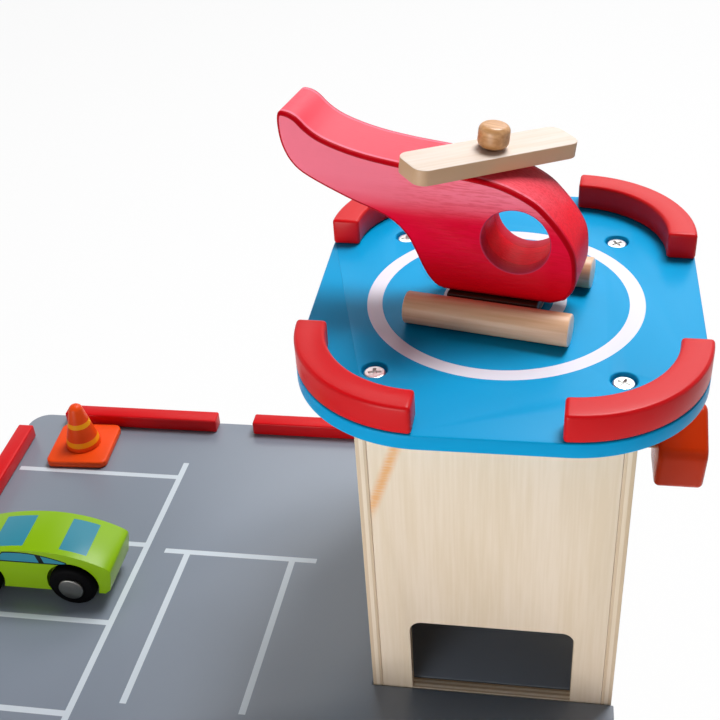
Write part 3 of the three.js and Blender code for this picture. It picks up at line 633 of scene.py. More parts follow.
def bore_along_axle(radius, start, end):
    """A round cutter round the crank's axle, from one place in x to another."""
    return bore(radius, (start, axle_middle.y, axle_middle.z), (end, axle_middle.y, axle_middle.z))


for node in ("tower_left_panel", "tower_right_panel"):
    low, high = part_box(node)
    rabbets = [
        block(front_low - PANEL_GAP - rise - Vector((0, OVERRUN, 0)), front_high + PANEL_GAP + rise),
        block(back_low - PANEL_GAP - rise, back_high + PANEL_GAP + rise + Vector((0, OVERRUN, 0))),
    ]
    hole = bore_along_axle(axle_radius + AXLE_PLAY, low.x - OVERRUN, high.x + OVERRUN)
    birch = plywood(node, 0, TOWER_PALE, TOWER_TAN, TOWER_GLUE)
    fit(soften(cut_out(block(low, high), [*rabbets, hole]), PLY_EDGE), node, birch)

doorways = []
middle = (front_low.x + front_high.x) / 2
for floor_node in ("base_board", "first_deck", "roof_deck"):
    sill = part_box(floor_node)[1].z
    door = block(
        (middle - DOOR_WIDTH / 2, front_low.y - OVERRUN, sill),
        (middle + DOOR_WIDTH / 2, front_high.y + OVERRUN, sill + DOOR_HEIGHT),
    )
    doorways.append(round_corners(door, DOOR_RADIUS, axis=1, above=sill + DOOR_HEIGHT / 2))


def sap_streak(material):
    """Adds the orange streak of sap that runs down a sheet of birch at a slant, with feathered edges."""
    tree = material.node_tree
    place = coordinates(tree)
    along = parts_of(tree, place)
    slant = (SAP_TOP.x - SAP_FOOT.x) / (SAP_TOP.z - SAP_FOOT.z)
    middle = maths(tree, "MULTIPLY_ADD", along["Z"], slant, SAP_FOOT.x - slant * SAP_FOOT.z)
    aside = maths(tree, "ABSOLUTE", maths(tree, "SUBTRACT", along["X"], middle))
    near = smooth_ramp(tree, aside, (SAP_HALF_WIDTH, 0))
    above_foot = smooth_ramp(tree, along["Z"], (SAP_FOOT.z - SAP_FADE, SAP_FOOT.z + SAP_FADE))
    below_top = smooth_ramp(tree, along["Z"], (SAP_TOP.z + SAP_FADE, SAP_TOP.z))
    feather = wood_grain(tree, place, SAP_ACROSS, SAP_ALONG, 0, SAP_DETAIL)
    share = chained(tree, "MULTIPLY", [near, above_foot, below_top, feather, SAP_STRENGTH])
    paint_over(material, share, SAP_ORANGE)


front_birch = plywood("tower_front_panel", 1, TOWER_PALE, TOWER_TAN)
sap_streak(front_birch)
fit(soften(cut_out(block(front_low, front_high), doorways), PLY_EDGE), "tower_front_panel", front_birch)
back_birch = plywood("tower_back_panel", 1, TOWER_PALE, TOWER_TAN)
fit(soften(block(back_low, back_high), PLY_EDGE), "tower_back_panel", back_birch)


# Helipad board
# Birch plywood with wide rounded corners, sprayed satin blue, with two rings and a dot screen printed in
# white. Four counterbores take the screws that hold it on the tower's side panels.
PAD_BLUE = "00a2dc"
PAD_GLOSS = 0.1
PAD_ROUGHNESS = 0.34
RING_WHITE = "e6e6f2"
PAD_CORNER = 0.051
PAD_CORNER_SEGMENTS = 36
PAD_EDGE = 0.0007
RINGS = ((0.0489, 0.0550), (0.0193, 0.0245), (0, 0.0158))
COUNTERBORE_RADIUS = 0.0049
COUNTERBORE_DEPTH = 0.0029
SCREW_CORNERS = ("front_left", "front_right", "back_left", "back_right")

pad_low, pad_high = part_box("helipad_board")
pad_middle = (pad_low + pad_high) / 2


def pad_rings(tree, place):
    """1 on the printed rings and the dot at the middle of the pad."""
    reach = reach_from(tree, place, (pad_middle.x, pad_middle.y, 0), flat=(1, 1, 0))
    return chained(tree, "MAXIMUM", [between(tree, reach, inner, outer) for inner, outer in RINGS])


pad_enamel = satin_paint(
    "printed_blue_enamel_on_plywood", PAD_BLUE, pad_rings, RING_WHITE, roughness=PAD_ROUGHNESS,
    gloss=PAD_GLOSS,
)
pad = round_corners(block(pad_low, pad_high), PAD_CORNER, axis=2, segments=PAD_CORNER_SEGMENTS)
screw_middles = {}
for corner in SCREW_CORNERS:
    low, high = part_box(f"helipad_screw_{corner}")
    screw_middles[corner] = (low + high) / 2
counterbores = [
    upright_bore(COUNTERBORE_RADIUS, middle, pad_high.z - COUNTERBORE_DEPTH, pad_high.z + OVERRUN)
    for middle in screw_middles.values()
]
fit(soften(cut_out(pad, counterbores), PAD_EDGE), "helipad_board", pad_enamel)


# Helipad screws
# Zinc-plated pan heads with a cross recess, down in the board's counterbores, each left at its own turn by
# the driver. They hold the helipad on the tower's side panels.
HEAD_HEIGHT = 0.0018
HEAD_RADIUS = 0.00425
HEAD_DOME = 0.0009
SHANK_RADIUS = 0.0011
RECESS_ARM = 0.0050
RECESS_WIDTH = 0.0013
RECESS_DEPTH = 0.0011
SCREW_TURNS = {"front_left": 8, "front_right": 65, "back_left": 10, "back_right": 35}
ZINC_GREY = "ececea"
HAZE_SIZE = 0.0004
HAZE_DETAIL = 2
PLATED_SHINE = (0.22, 0.4)


def plated_steel(name, colour):
    """Plated steel, its shine broken up by a fine haze."""
    material, tree, shader = material_named(name)
    shader.inputs["Base Color"].default_value = linear(colour)
    shader.inputs["Metallic"].default_value = 1
    haze = noise(tree, coordinates(tree), HAZE_SIZE, HAZE_DETAIL)
    tree.links.new(ramp(tree, haze, (0, 1), PLATED_SHINE), shader.inputs["Roughness"])
    return material


zinc = plated_steel("zinc_plated_steel", ZINC_GREY)

bpy.ops.object.select_all(action="DESELECT")
bpy.ops.mesh.primitive_cylinder_add(
    vertices=BORE_SIDES, radius=HEAD_RADIUS, depth=HEAD_HEIGHT, location=(0, 0, HEAD_HEIGHT / 2),
)
master_screw = round_edges(settled(), HEAD_DOME, EDGE_SEGMENTS * 2, all_above(HEAD_HEIGHT / 2))
bpy.ops.object.mode_set(mode="EDIT")
choose("FACE", lambda face: face.normal.z < -ALONG_AXIS)
low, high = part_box("helipad_screw_front_left")
head_seat = high.z - HEAD_HEIGHT
bpy.ops.mesh.inset(thickness=HEAD_RADIUS - SHANK_RADIUS)
bpy.ops.mesh.extrude_region_move(TRANSFORM_OT_translate={"value": (0, 0, low.z - head_seat)})
bpy.ops.object.mode_set(mode="OBJECT")
recess_low = HEAD_HEIGHT - RECESS_DEPTH
cut_out(master_screw, [
    block((-length / 2, -width / 2, recess_low), (length / 2, width / 2, HEAD_HEIGHT + OVERRUN))
    for length, width in ((RECESS_ARM, RECESS_WIDTH), (RECESS_WIDTH, RECESS_ARM))
])
smooth(master_screw)
for corner, middle in screw_middles.items():
    screw = master_screw.copy()
    screw.data = master_screw.data.copy()
    bpy.context.scene.collection.objects.link(screw)
    screw_place = Matrix.Translation((middle.x, middle.y, head_seat))
    screw_turn = Matrix.Rotation(math.radians(SCREW_TURNS[corner]), 4, "Z")
    fit(screw, f"helipad_screw_{corner}", zinc, screw_place @ screw_turn)
bpy.data.objects.remove(master_screw)


# Helipad rails
# Quarter rings sawn from beech, sanded round at the edges and sprayed red. They are glued on the board's
# corners, each turned a little from true.
RAIL_RED = "d60c14"
RAIL_WIDTH = 0.0117
RAIL_STEPS = 40
RAIL_EDGE = 0.0014
RAIL_ROUGHNESS = 0.34
RAIL_PEEL = 0.6
MERGE_DISTANCE = 0.000001
RAIL_STARTS = {"back_right": -4.5, "back_left": 88, "front_left": 178.2, "front_right": 268.3}

rail_enamel = satin_paint("satin_red_enamel_on_beech", RAIL_RED, roughness=RAIL_ROUGHNESS, peel=RAIL_PEEL)
for corner, start in RAIL_STARTS.items():
    low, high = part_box(f"helipad_rail_{corner}")
    side_x, side_y = (1 if "right" in corner else -1), (1 if "back" in corner else -1)
    centre = Vector((
        pad_middle.x + side_x * ((pad_high.x - pad_low.x) / 2 - PAD_CORNER),
        pad_middle.y + side_y * ((pad_high.y - pad_low.y) / 2 - PAD_CORNER),
        (low.z + high.z) / 2,
    ))
    start = math.radians(start)
    section_place = centre + (PAD_CORNER - RAIL_WIDTH / 2) * Vector((math.cos(start), math.sin(start), 0))
    bpy.ops.object.select_all(action="DESELECT")
    bpy.ops.mesh.primitive_plane_add(size=1, location=section_place, rotation=(math.pi / 2, 0, start))
    bpy.context.object.scale = (RAIL_WIDTH, high.z - low.z, 1)
    rail = settled()
    bpy.ops.object.mode_set(mode="EDIT")
    bpy.ops.mesh.select_all(action="SELECT")
    bpy.ops.mesh.spin(steps=RAIL_STEPS, angle=math.pi / 2, center=centre, axis=(0, 0, -1))
    bpy.ops.mesh.select_all(action="SELECT")
    bpy.ops.mesh.remove_doubles(threshold=MERGE_DISTANCE)
    bpy.ops.mesh.normals_make_consistent(inside=False)
    bpy.ops.object.mode_set(mode="OBJECT")
    fit(soften(rail, RAIL_EDGE), f"helipad_rail_{corner}", rail_enamel)


# Kerbs
# Beech strips cut to length, sanded at the edges and sprayed red. They are glued along the roof deck's edges
# and keep the cars on it.
KERB_EDGE = 0.0010

kerb_enamel = satin_paint(
    "satin_red_enamel_on_beech_strip", RAIL_RED, roughness=RAIL_ROUGHNESS, peel=RAIL_PEEL,
)
for node in [name for name in frame["nodes"] if name.startswith("kerb_")]:
    fit(soften(block(*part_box(node)), KERB_EDGE), node, kerb_enamel)


# Lift
# A grey board that fills the shaft, between two plywood uprights and a crossbar glued on them, with a screw
# eye for the cord.
EYE_WIRE_RADIUS = 0.0009
EYE_RADIUS = 0.0030
EYE_SEGMENTS = 48
EYE_WIRE_SEGMENTS = 16

fit(soften(block(platform_low, platform_high), BOARD_EDGE), "lift_platform", grey_enamel)
for node in ("lift_upright_left", "lift_upright_right"):
    fit(soften(block(*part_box(node)), PLY_EDGE), node, plywood(node, 0))
low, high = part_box("lift_crossbar")
eye_low, eye_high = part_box("lift_eye")
eye_middle = (eye_low + eye_high) / 2
eye_hole = upright_bore(EYE_WIRE_RADIUS + AXLE_PLAY, eye_middle, eye_low.z, high.z + OVERRUN)
birch = plywood("lift_crossbar", 2, grain_axis=0)
fit(soften(cut_out(block(low, high), [eye_hole]), PLY_EDGE), "lift_crossbar", birch)

bpy.ops.object.select_all(action="DESELECT")
bpy.ops.mesh.primitive_torus_add(
    major_radius=EYE_RADIUS, minor_radius=EYE_WIRE_RADIUS, major_segments=EYE_SEGMENTS,
    minor_segments=EYE_WIRE_SEGMENTS, rotation=(math.pi / 2, 0, 0),
    location=(eye_middle.x, eye_middle.y, eye_high.z - EYE_RADIUS - EYE_WIRE_RADIUS),
)
eye = settled()
shank_top = eye_high.z - 2 * EYE_RADIUS - EYE_WIRE_RADIUS
shank = upright_bore(EYE_WIRE_RADIUS, eye_middle, eye_low.z, shank_top)
combine(eye, shank, "UNION")
fit(smooth(eye), "lift_eye", zinc)


# Crank
# A beech rod through the tower with a turned spool and a collar, and outside a five-sided wheel of beech,
# dipped in orange lacquer.
SPOOL_FLANGE = 0.004
SPOOL_CORE_RADIUS = 0.014
WHEEL_SIDES = 5
WHEEL_RADIUS = 0.0202
WHEEL_TURN = math.radians(13)
WHEEL_FIRST_CORNER = math.radians(90)
WHEEL_CORNER = 0.004
WHEEL_CORNER_SEGMENTS = 8
WHEEL_EDGE = 0.0022
WIDE_EDGE_SEGMENTS = 5
HUB_GAP = 0.0003
AXLE_END_DEPTH = 0.002
LACQUER_ORANGE = "c8340a"
LACQUER_ROUGHNESS = 0.22
LACQUER_PEEL = 0.4
LACQUER_GLOSS = 0.1

beech_crank = bare_wood("clear_coated_beech_rod", BEECH_PALE, BEECH_TAN, grain_axis=0)
fit(dowel("crank_axle", axis=0), "crank_axle", beech_crank)


def hub_hole(start, end):
    """The hole for the axle through something on it."""
    return bore_along_axle(axle_radius + HUB_GAP, start, end)


def extruded(piece, way):
    """Draws a flat face out into a solid."""
    bpy.ops.object.mode_set(mode="EDIT")
    bpy.ops.mesh.select_all(action="SELECT")
    bpy.ops.mesh.extrude_region_move(TRANSFORM_OT_translate={"value": way})
    bpy.ops.mesh.select_all(action="SELECT")
    bpy.ops.mesh.normals_make_consistent(inside=False)
    bpy.ops.object.mode_set(mode="OBJECT")
    return piece


low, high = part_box("axle_collar")
collar = cut_out(dowel("axle_collar", axis=0), [hub_hole(low.x - OVERRUN, high.x + OVERRUN)])
fit(soften(collar, PLY_EDGE), "axle_collar", beech_crank)

low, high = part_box("cord_spool")
spool = dowel("cord_spool", axis=0, edge=PLY_EDGE)
groove = bore_along_axle((high.z - low.z) / 2 + OVERRUN, low.x + SPOOL_FLANGE, high.x - SPOOL_FLANGE)
cut_out(groove, [bore_along_axle(SPOOL_CORE_RADIUS, low.x, high.x)])
cut_out(spool, [groove, hub_hole(low.x - OVERRUN, high.x + OVERRUN)])
fit(soften(spool, PLY_EDGE), "cord_spool", beech_crank)

low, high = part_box("crank_wheel")
bpy.ops.object.select_all(action="DESELECT")
bpy.ops.mesh.primitive_circle_add(vertices=WHEEL_SIDES, radius=WHEEL_RADIUS, fill_type="NGON")
wheel = extruded(bpy.context.object, (0, 0, high.x - low.x))
along_axle = Matrix(((0, 0, 1), (1, 0, 0), (0, 1, 0))).to_4x4()
wheel.data.transform(
    Matrix.Translation((low.x, axle_middle.y, axle_middle.z)) @ along_axle
    @ Matrix.Rotation(WHEEL_TURN - WHEEL_FIRST_CORNER, 4, "Z")
)
round_corners(wheel, WHEEL_CORNER, axis=0, segments=WHEEL_CORNER_SEGMENTS)
soften(wheel, WHEEL_EDGE, segments=WIDE_EDGE_SEGMENTS)
cut_out(wheel, [hub_hole(low.x - OVERRUN, high.x - AXLE_END_DEPTH)])
lacquer = satin_paint(
    "gloss_orange_lacquer_on_beech", LACQUER_ORANGE, roughness=LACQUER_ROUGHNESS, peel=LACQUER_PEEL,
    gloss=LACQUER_GLOSS,
)
fit(smooth(wheel), "crank_wheel", lacquer)


# Helicopter body
# One thick piece of beech, its outline and round window cut with a band saw and a drill, sanded round at the
# edges and dipped in a clear crimson stain, so that the fibres show through as fine dark streaks.
CRIMSON = "ec0034"
# Besides the stain's own red and its pores, these reds paint in light and shade: shade low down and on the
# edges, sheen high up, light on the back and on the window rim.
CRIMSON_SHADE_AND_PORES = "d00010"
CRIMSON_PAINTED_EDGE_SHADE = "ba0012"
CRIMSON_PAINTED_SHEEN = "ff8094"
PAINTED_SHADE_HEIGHTS = (0.012, 0.036)
PAINTED_SHEEN_HEIGHTS = (0.040, 0.055)
PAINTED_LIGHT_DRIFT = 0.012
EDGE_TURNS = (0.07, 0.15)
SIDE_TURNS = (0.988, 0.970)
STREAK_SHARE = 0.3
STAIN_GLOSS = 0.06
BACK_GLOSS = 0.13
CRIMSON_PAINTED_LIT_BACK = "ff062c"
BACK_PAINTED_SHEEN = "ff5868"
HELICOPTER_LENGTH = 0.1153
HELICOPTER_HEIGHT = 0.068
HELICOPTER_THICKNESS = 0.026
HELICOPTER_NOSE = 0.0313
HELICOPTER_BELLY = 0.011
HELICOPTER_EDGE = 0.0028
WINDOW_EDGE = 0.0006
WINDOW_MARGIN = 0.0008
WINDOW_RIM_PAINTED_LIGHT = "c83a56"
STREAK_ENDS = (-0.050, -0.015)
HELICOPTER_TURN = math.radians(-11.3)
ROTOR_PLACE = Vector((-0.0047, 0, 0.060))
ROTOR_TILT = math.radians(6)
ROTOR_LEAN = math.radians(-3)
WINDOW_HOLE_RADIUS = 0.013
WINDOW_HOLE_PLACE = (0.0084, 0.0357)
STREAK_ACROSS = 0.0007
STREAK_ALONG = 0.006
STREAK_DETAIL = 3
STREAK_DEPTH = 0.0002
STREAK_STRENGTH = 0.6
PORE_RANGE = (0.38, 0.55)
NOISE_MEAN = 0.5
STAIN_ROUGHNESS = 0.42
BODY_HEEL_SHARES = ((0.562, 0), (0.925, 0))
BODY_OUTLINE_SHARES = (
    (0.968, 0.03), (0.996, 0.105), (1, 0.21), (0.99, 0.325), (0.958, 0.425), (0.908, 0.53), (0.855, 0.61),
    (0.768, 0.68), (0.682, 0.712), (0.53, 0.738), (0.408, 0.758), (0.3, 0.785), (0.215, 0.82), (0.148, 0.862),
    (0.104, 0.91), (0.068, 0.968), (0.035, 0.993), (0.006, 0.985), (0, 0.9), (0.01, 0.79), (0.04, 0.69),
    (0.095, 0.615), (0.229, 0.51), (0.321, 0.452), (0.383, 0.402), (0.43, 0.325), (0.458, 0.235),
    (0.477, 0.16), (0.497, 0.09), (0.52, 0.037), (0.54, 0.01),
)
CURVE_STEPS = 4

rotor_joint = next(joint for joint in frame["record"]["behaviour"]["joints"] if joint["name"] == "rotor_spin")
helicopter_turn = Matrix.Rotation(HELICOPTER_TURN, 4, "Z")
helicopter_foot = Vector(rotor_joint["pos_m"]) - helicopter_turn @ ROTOR_PLACE
helicopter_place = Matrix.Translation(helicopter_foot) @ helicopter_turn
rotor_place = helicopter_place @ Matrix.Translation(ROTOR_PLACE)
rotor_place = rotor_place @ Matrix.Rotation(ROTOR_TILT, 4, "Y") @ Matrix.Rotation(ROTOR_LEAN, 4, "X")


def curve_through(points, steps):
    """Points of the smooth curve through some points, from the first to the last."""
    padded = [points[0], *points, points[-1]]
    curve = []
    for before, start, end, after in zip(padded, padded[1:], padded[2:], padded[3:]):
        start_way, end_way = (end - before) / 2, (after - start) / 2
        for i in range(steps):
            t = i / steps
            curve.append(
                (2 * t ** 3 - 3 * t ** 2 + 1) * start + (t ** 3 - 2 * t ** 2 + t) * start_way
                + (3 * t ** 2 - 2 * t ** 3) * end + (t ** 3 - t ** 2) * end_way
            )
    return [*curve, points[-1]]


def rod(radius, start, end):
    """A round bar from one point to another."""
    bore(radius, start, end)
    return settled()


def slab(outline, thickness):
    """A slab of an outline in x and z, its thickness centred on y = 0."""
    bpy.ops.object.select_all(action="DESELECT")
    bpy.ops.mesh.primitive_circle_add(vertices=len(outline), fill_type="NGON", rotation=(math.pi / 2, 0, 0))
    piece = settled()
    for vertex, point in zip(piece.data.vertices, outline):
        vertex.co = (point.x, -thickness / 2, point.y)
    return extruded(piece, (0, thickness, 0))


def at_body(shares):
    """A point of the helicopter's outline, from its shares of the length and of the height."""
    along, up = shares
    return Vector((
        HELICOPTER_NOSE - (1 - along) * HELICOPTER_LENGTH, HELICOPTER_BELLY + up * HELICOPTER_HEIGHT,
    ))


def crimson_stain():
    """Clear crimson stain on beech with dark fibre streaks, with light and shade painted in: painted shade
    low down and along the rounded edges, a painted pink sheen higher up, a brighter painted red on the back
    and a dull pink on the window rim.
    """
    material, tree, shader = material_named("crimson_stained_beech")
    place = unplaced(tree, helicopter_place)
    figure = wood_grain(tree, place, FIGURE_ACROSS, FIGURE_ALONG, 0, FIGURE_DETAIL)
    height = part_of(tree, place, "Z")
    swing = maths(tree, "SUBTRACT", figure, NOISE_MEAN)
    height = maths(tree, "MULTIPLY_ADD", swing, PAINTED_LIGHT_DRIFT, height)
    # Painted shade: the red darkens towards the bottom. Painted sheen: it turns pink high up. Both heights
    # wander with the figure.
    above_painted_shade = smooth_ramp(tree, height, PAINTED_SHADE_HEIGHTS)
    painted_sheen = smooth_ramp(tree, height, PAINTED_SHEEN_HEIGHTS)
    streaks = wood_grain(tree, place, STREAK_ACROSS, STREAK_ALONG, 0, STREAK_DETAIL)
    pores = ramp(tree, streaks, PORE_RANGE, (STREAK_SHARE, 0))
    streaked = smooth_ramp(tree, part_of(tree, place, "X"), STREAK_ENDS)
    pores = maths(tree, "MULTIPLY", pores, streaked)
    turned = facing_along(tree, helicopter_turn @ Vector((0, 1, 0)))
    # Painted shade: the rounded edges between the sides and the back are painted a darker red.
    off_rim = ramp(tree, turned, EDGE_TURNS)
    off_side = ramp(tree, turned, SIDE_TURNS)
    rounded = maths(tree, "MULTIPLY", off_rim, off_side)
    window_middle = (WINDOW_HOLE_PLACE[0], 0, WINDOW_HOLE_PLACE[1])
    reach = reach_from(tree, place, window_middle, flat=(1, 0, 1))
    at_window = maths(tree, "LESS_THAN", reach, WINDOW_HOLE_RADIUS + WINDOW_MARGIN)
    off_window = maths(tree, "SUBTRACT", 1, at_window)
    # Painted light: the window's rounded rim is painted a dull pink instead of the edge shade.
    window_rim = maths(tree, "MULTIPLY", rounded, at_window)
    rounded = maths(tree, "MULTIPLY", rounded, off_window)
    # Painted light on the back, the sawn outline faces: a brighter red, with a pink painted sheen on it high
    # up.
    on_back = maths(tree, "LESS_THAN", turned, EDGE_TURNS[0])
    back_painted_sheen = maths(tree, "MULTIPLY", painted_sheen, on_back)
    colour = linear(CRIMSON_SHADE_AND_PORES)
    for share, stain in (
        (above_painted_shade, CRIMSON), (painted_sheen, CRIMSON_PAINTED_SHEEN), (on_back, CRIMSON_PAINTED_LIT_BACK), (back_painted_sheen, BACK_PAINTED_SHEEN),
        (pores, CRIMSON_SHADE_AND_PORES), (rounded, CRIMSON_PAINTED_EDGE_SHADE), (window_rim, WINDOW_RIM_PAINTED_LIGHT),
    ):
        colour = mixed(tree, share, colour, linear(stain))
    tree.links.new(colour, shader.inputs["Base Color"])
    shader.inputs["Roughness"].default_value = STAIN_ROUGHNESS
    glossy = maths(tree, "MULTIPLY", on_back, off_window)
    sheen = ramp(tree, glossy, (0, 1), (STAIN_GLOSS, BACK_GLOSS))
    tree.links.new(sheen, shader.inputs["Specular IOR Level"])
    roughen(tree, shader, streaks, STREAK_STRENGTH, STREAK_DEPTH)
    return material


body_outline = [at_body(shares) for shares in BODY_HEEL_SHARES]
body_outline += curve_through([at_body(shares) for shares in BODY_OUTLINE_SHARES], CURVE_STEPS)
body = soften(slab(body_outline, HELICOPTER_THICKNESS), HELICOPTER_EDGE, segments=WIDE_EDGE_SEGMENTS)
window_x, window_z = WINDOW_HOLE_PLACE
cut_out(body, [bore(
    WINDOW_HOLE_RADIUS,
    (window_x, -HELICOPTER_THICKNESS, window_z), (window_x, HELICOPTER_THICKNESS, window_z),
)])
fit(soften(body, WINDOW_EDGE), "helicopter_body", crimson_stain(), helicopter_place)


# Helicopter skids and crosspiece
# Two beech dowels with sanded rims under a clear coat, and between them a flat beech strip that is stained
# brown and darkened further as painted shade. All three are glued together under the body.
SKID_RADIUS = 0.0063
SKID_LENGTH = 0.0643
SKID_SPACING = 0.0427
SKID_EDGE = 0.0007
SKID_PALE = "eec09a"
SKID_TAN = "daa67c"
SKID_END = "f2dfcf"
SKID_ROUGHNESS = 0.42
CROSSPIECE_LENGTH = 0.0356
CROSSPIECE_THICKNESS = 0.0055
CROSSPIECE_GAP = 0.0003
CROSSPIECE_EDGE = 0.0006
WALNUT_BROWN_AND_SHADE = "4a200f"
WALNUT_DARK_AND_SHADE = "2e1208"
WALNUT_ROUGHNESS = 0.45

skid_beech = bare_wood(
    "clear_coated_beech_skids", SKID_PALE, SKID_TAN, grain_axis=0, turn=helicopter_place,
    roughness=SKID_ROUGHNESS, end_grain=SKID_END,
)
for side, sign in (("near", -1), ("far", 1)):
    middle = sign * SKID_SPACING / 2
    skid = rod(SKID_RADIUS, (-SKID_LENGTH / 2, middle, SKID_RADIUS), (SKID_LENGTH / 2, middle, SKID_RADIUS))
    fit(soften(skid, SKID_EDGE), f"helicopter_skid_{side}", skid_beech, helicopter_place)

crosspiece_reach = SKID_SPACING / 2 - SKID_RADIUS - CROSSPIECE_GAP
crosspiece_top = HELICOPTER_BELLY - CROSSPIECE_GAP
crosspiece = block(
    (-CROSSPIECE_LENGTH / 2, -crosspiece_reach, crosspiece_top - CROSSPIECE_THICKNESS),
    (CROSSPIECE_LENGTH / 2, crosspiece_reach, crosspiece_top),
)
# The strip's brown stain is darkened further as painted shade, for the shadow under the body.
brown_beech = bare_wood(
    "brown_stained_beech_with_painted_shade", WALNUT_BROWN_AND_SHADE, WALNUT_DARK_AND_SHADE, grain_axis=0, turn=helicopter_place,
    roughness=WALNUT_ROUGHNESS,
)
fit(soften(crosspiece, CROSSPIECE_EDGE), "helicopter_crosspiece", brown_beech, helicopter_place)


# Rotor
# A maple bar with rounded corners that turns on a beech peg, under a turned knob with a glossy clear coat.
# The peg leans a little, as its hole was drilled out of square.
ROTOR_LENGTH = 0.0712
ROTOR_HOLE_OFFSET = 0.0007
ROTOR_WIDTH = 0.017
ROTOR_THICKNESS = 0.0061
ROTOR_CORNER = 0.0047
ROTOR_EDGE = 0.0009
ROTOR_TURN = math.radians(48.4)
RUNNING_GAP = 0.0005
MAPLE_PALE = "e6d7cc"
MAPLE_TAN = "dcc7b4"
MAPLE_SIDE = "cda680"
KNOB_RADIUS = 0.0059
KNOB_HEIGHT = 0.0086
KNOB_EDGE = 0.0025
KNOB_SEGMENTS = 8
KNOB_ROUGHNESS = 0.34
KNOB_PALE = "e0ac78"
KNOB_TAN = "bd8450"
PEG_RADIUS = 0.0020
PEG_DEPTH = 0.012

blade_place = rotor_place @ Matrix.Rotation(ROTOR_TURN, 4, "Z")
blade = round_corners(block(
    (-ROTOR_LENGTH / 2 - ROTOR_HOLE_OFFSET, -ROTOR_WIDTH / 2, RUNNING_GAP),
    (ROTOR_LENGTH / 2 - ROTOR_HOLE_OFFSET, ROTOR_WIDTH / 2, RUNNING_GAP + ROTOR_THICKNESS),
), ROTOR_CORNER, axis=2)
cut_out(blade, [bore(PEG_RADIUS + RUNNING_GAP, (0, 0, -OVERRUN), (0, 0, ROTOR_THICKNESS + OVERRUN))])
maple = bare_wood(
    "sanded_maple_blade", MAPLE_PALE, MAPLE_TAN, grain_axis=0, turn=blade_place, side=MAPLE_SIDE,
)
fit(soften(blade, ROTOR_EDGE), "rotor_blade", maple, blade_place)

knob_bottom = ROTOR_THICKNESS + 2 * RUNNING_GAP
knob_beech = bare_wood(
    "gloss_coated_beech_knob", KNOB_PALE, KNOB_TAN, grain_axis=0, turn=rotor_place,
    roughness=KNOB_ROUGHNESS,
)
knob = rod(KNOB_RADIUS, (0, 0, knob_bottom), (0, 0, knob_bottom + KNOB_HEIGHT))
soften(knob, KNOB_EDGE, segments=KNOB_SEGMENTS)
peg_top = knob_bottom + KNOB_HEIGHT / 2
cut_out(knob, [bore(PEG_RADIUS + FIT_GAP.x, (0, 0, 0), (0, 0, peg_top + FIT_GAP.x))])
fit(knob, "rotor_knob", knob_beech, rotor_place)
peg = rod(PEG_RADIUS, (0, 0, -PEG_DEPTH), (0, 0, peg_top))
fit(soften(peg, PLY_EDGE), "rotor_pin", knob_beech, rotor_place)


# Car
# A beech block sawn to a car's outline, with drilled wheel pockets, sprayed lime green, and its windows
# printed in light blue, the side ones with a black line round them and a black pillar.
LIME = "88b40a"
LIME_ROUGHNESS = 0.3
GLASS_BLUE = "34869b"
TRIM_BLACK = "0a120e"
CAR_EDGE = 0.0016
CAR_SILL = 0.0063
CAR_SILL_SHARES = ((0.025, 0), (0.944, 0))
CAR_OUTLINE_SHARES = (
    (0.977, 0.107), (0.998, 0.49), (0.99, 0.63), (0.904, 0.785), (0.79, 0.915), (0.68, 0.98),
    (0.576, 1), (0.463, 0.98), (0.332, 0.91), (0.2, 0.79), (0.09, 0.66), (0.012, 0.5), (0, 0.16),
)
CAR_WHEEL_RADIUS = 0.0114
CAR_WHEEL_WIDTH = 0.0068
CAR_TRACK = 0.0324
CAR_FRONT_OVERHANG = 0.018
CAR_REAR_OVERHANG = 0.0198
ARCH_GAP = 0.0012
ARCH_DEPTH_GAP = 0.0008
ROOF_WINDOWS = ((0.027, 0.0428), (0.0605, 0.0732))
ROOF_WINDOW_HALF_WIDTH = 0.0102
SIDE_WINDOW_ENDS = (0.028, 0.0643)
SIDE_WINDOW_SILL = 0.0231
SIDE_WINDOW_TOP = 0.0298
SIDE_WINDOW_CROWN = 0.041
SIDE_WINDOW_ARCH_RADIUS = 0.055
WINDSCREEN_SLOPE = 0.9
PILLAR_PLACE = 0.0512
PILLAR_HEIGHT = 0.0268
PILLAR_SLOPE = -0.246
PILLAR_HALF_WIDTH = 0.0013
TRIM_WIDTH = 0.0007
FACING = 0.6
RUBBER_BLACK = "020203"
RUBBER_ROUGHNESS = 0.6
RUBBER_GLOSS = 0.05
# The caps' grey is darkened far below plain nickel, as a painted reflection of the dark surroundings they
# mirror.
SHADED_CAP_GREY = "6e6e6a"
TYRE_EDGE = 0.0022
HUB_EDGE = 0.0006

car_low, car_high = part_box("car_body")
car_length = car_high.x - car_low.x
car_height = car_high.z - car_low.z
car_place = Matrix.Translation((car_low.x, (car_low.y + car_high.y) / 2, car_low.z - CAR_SILL))


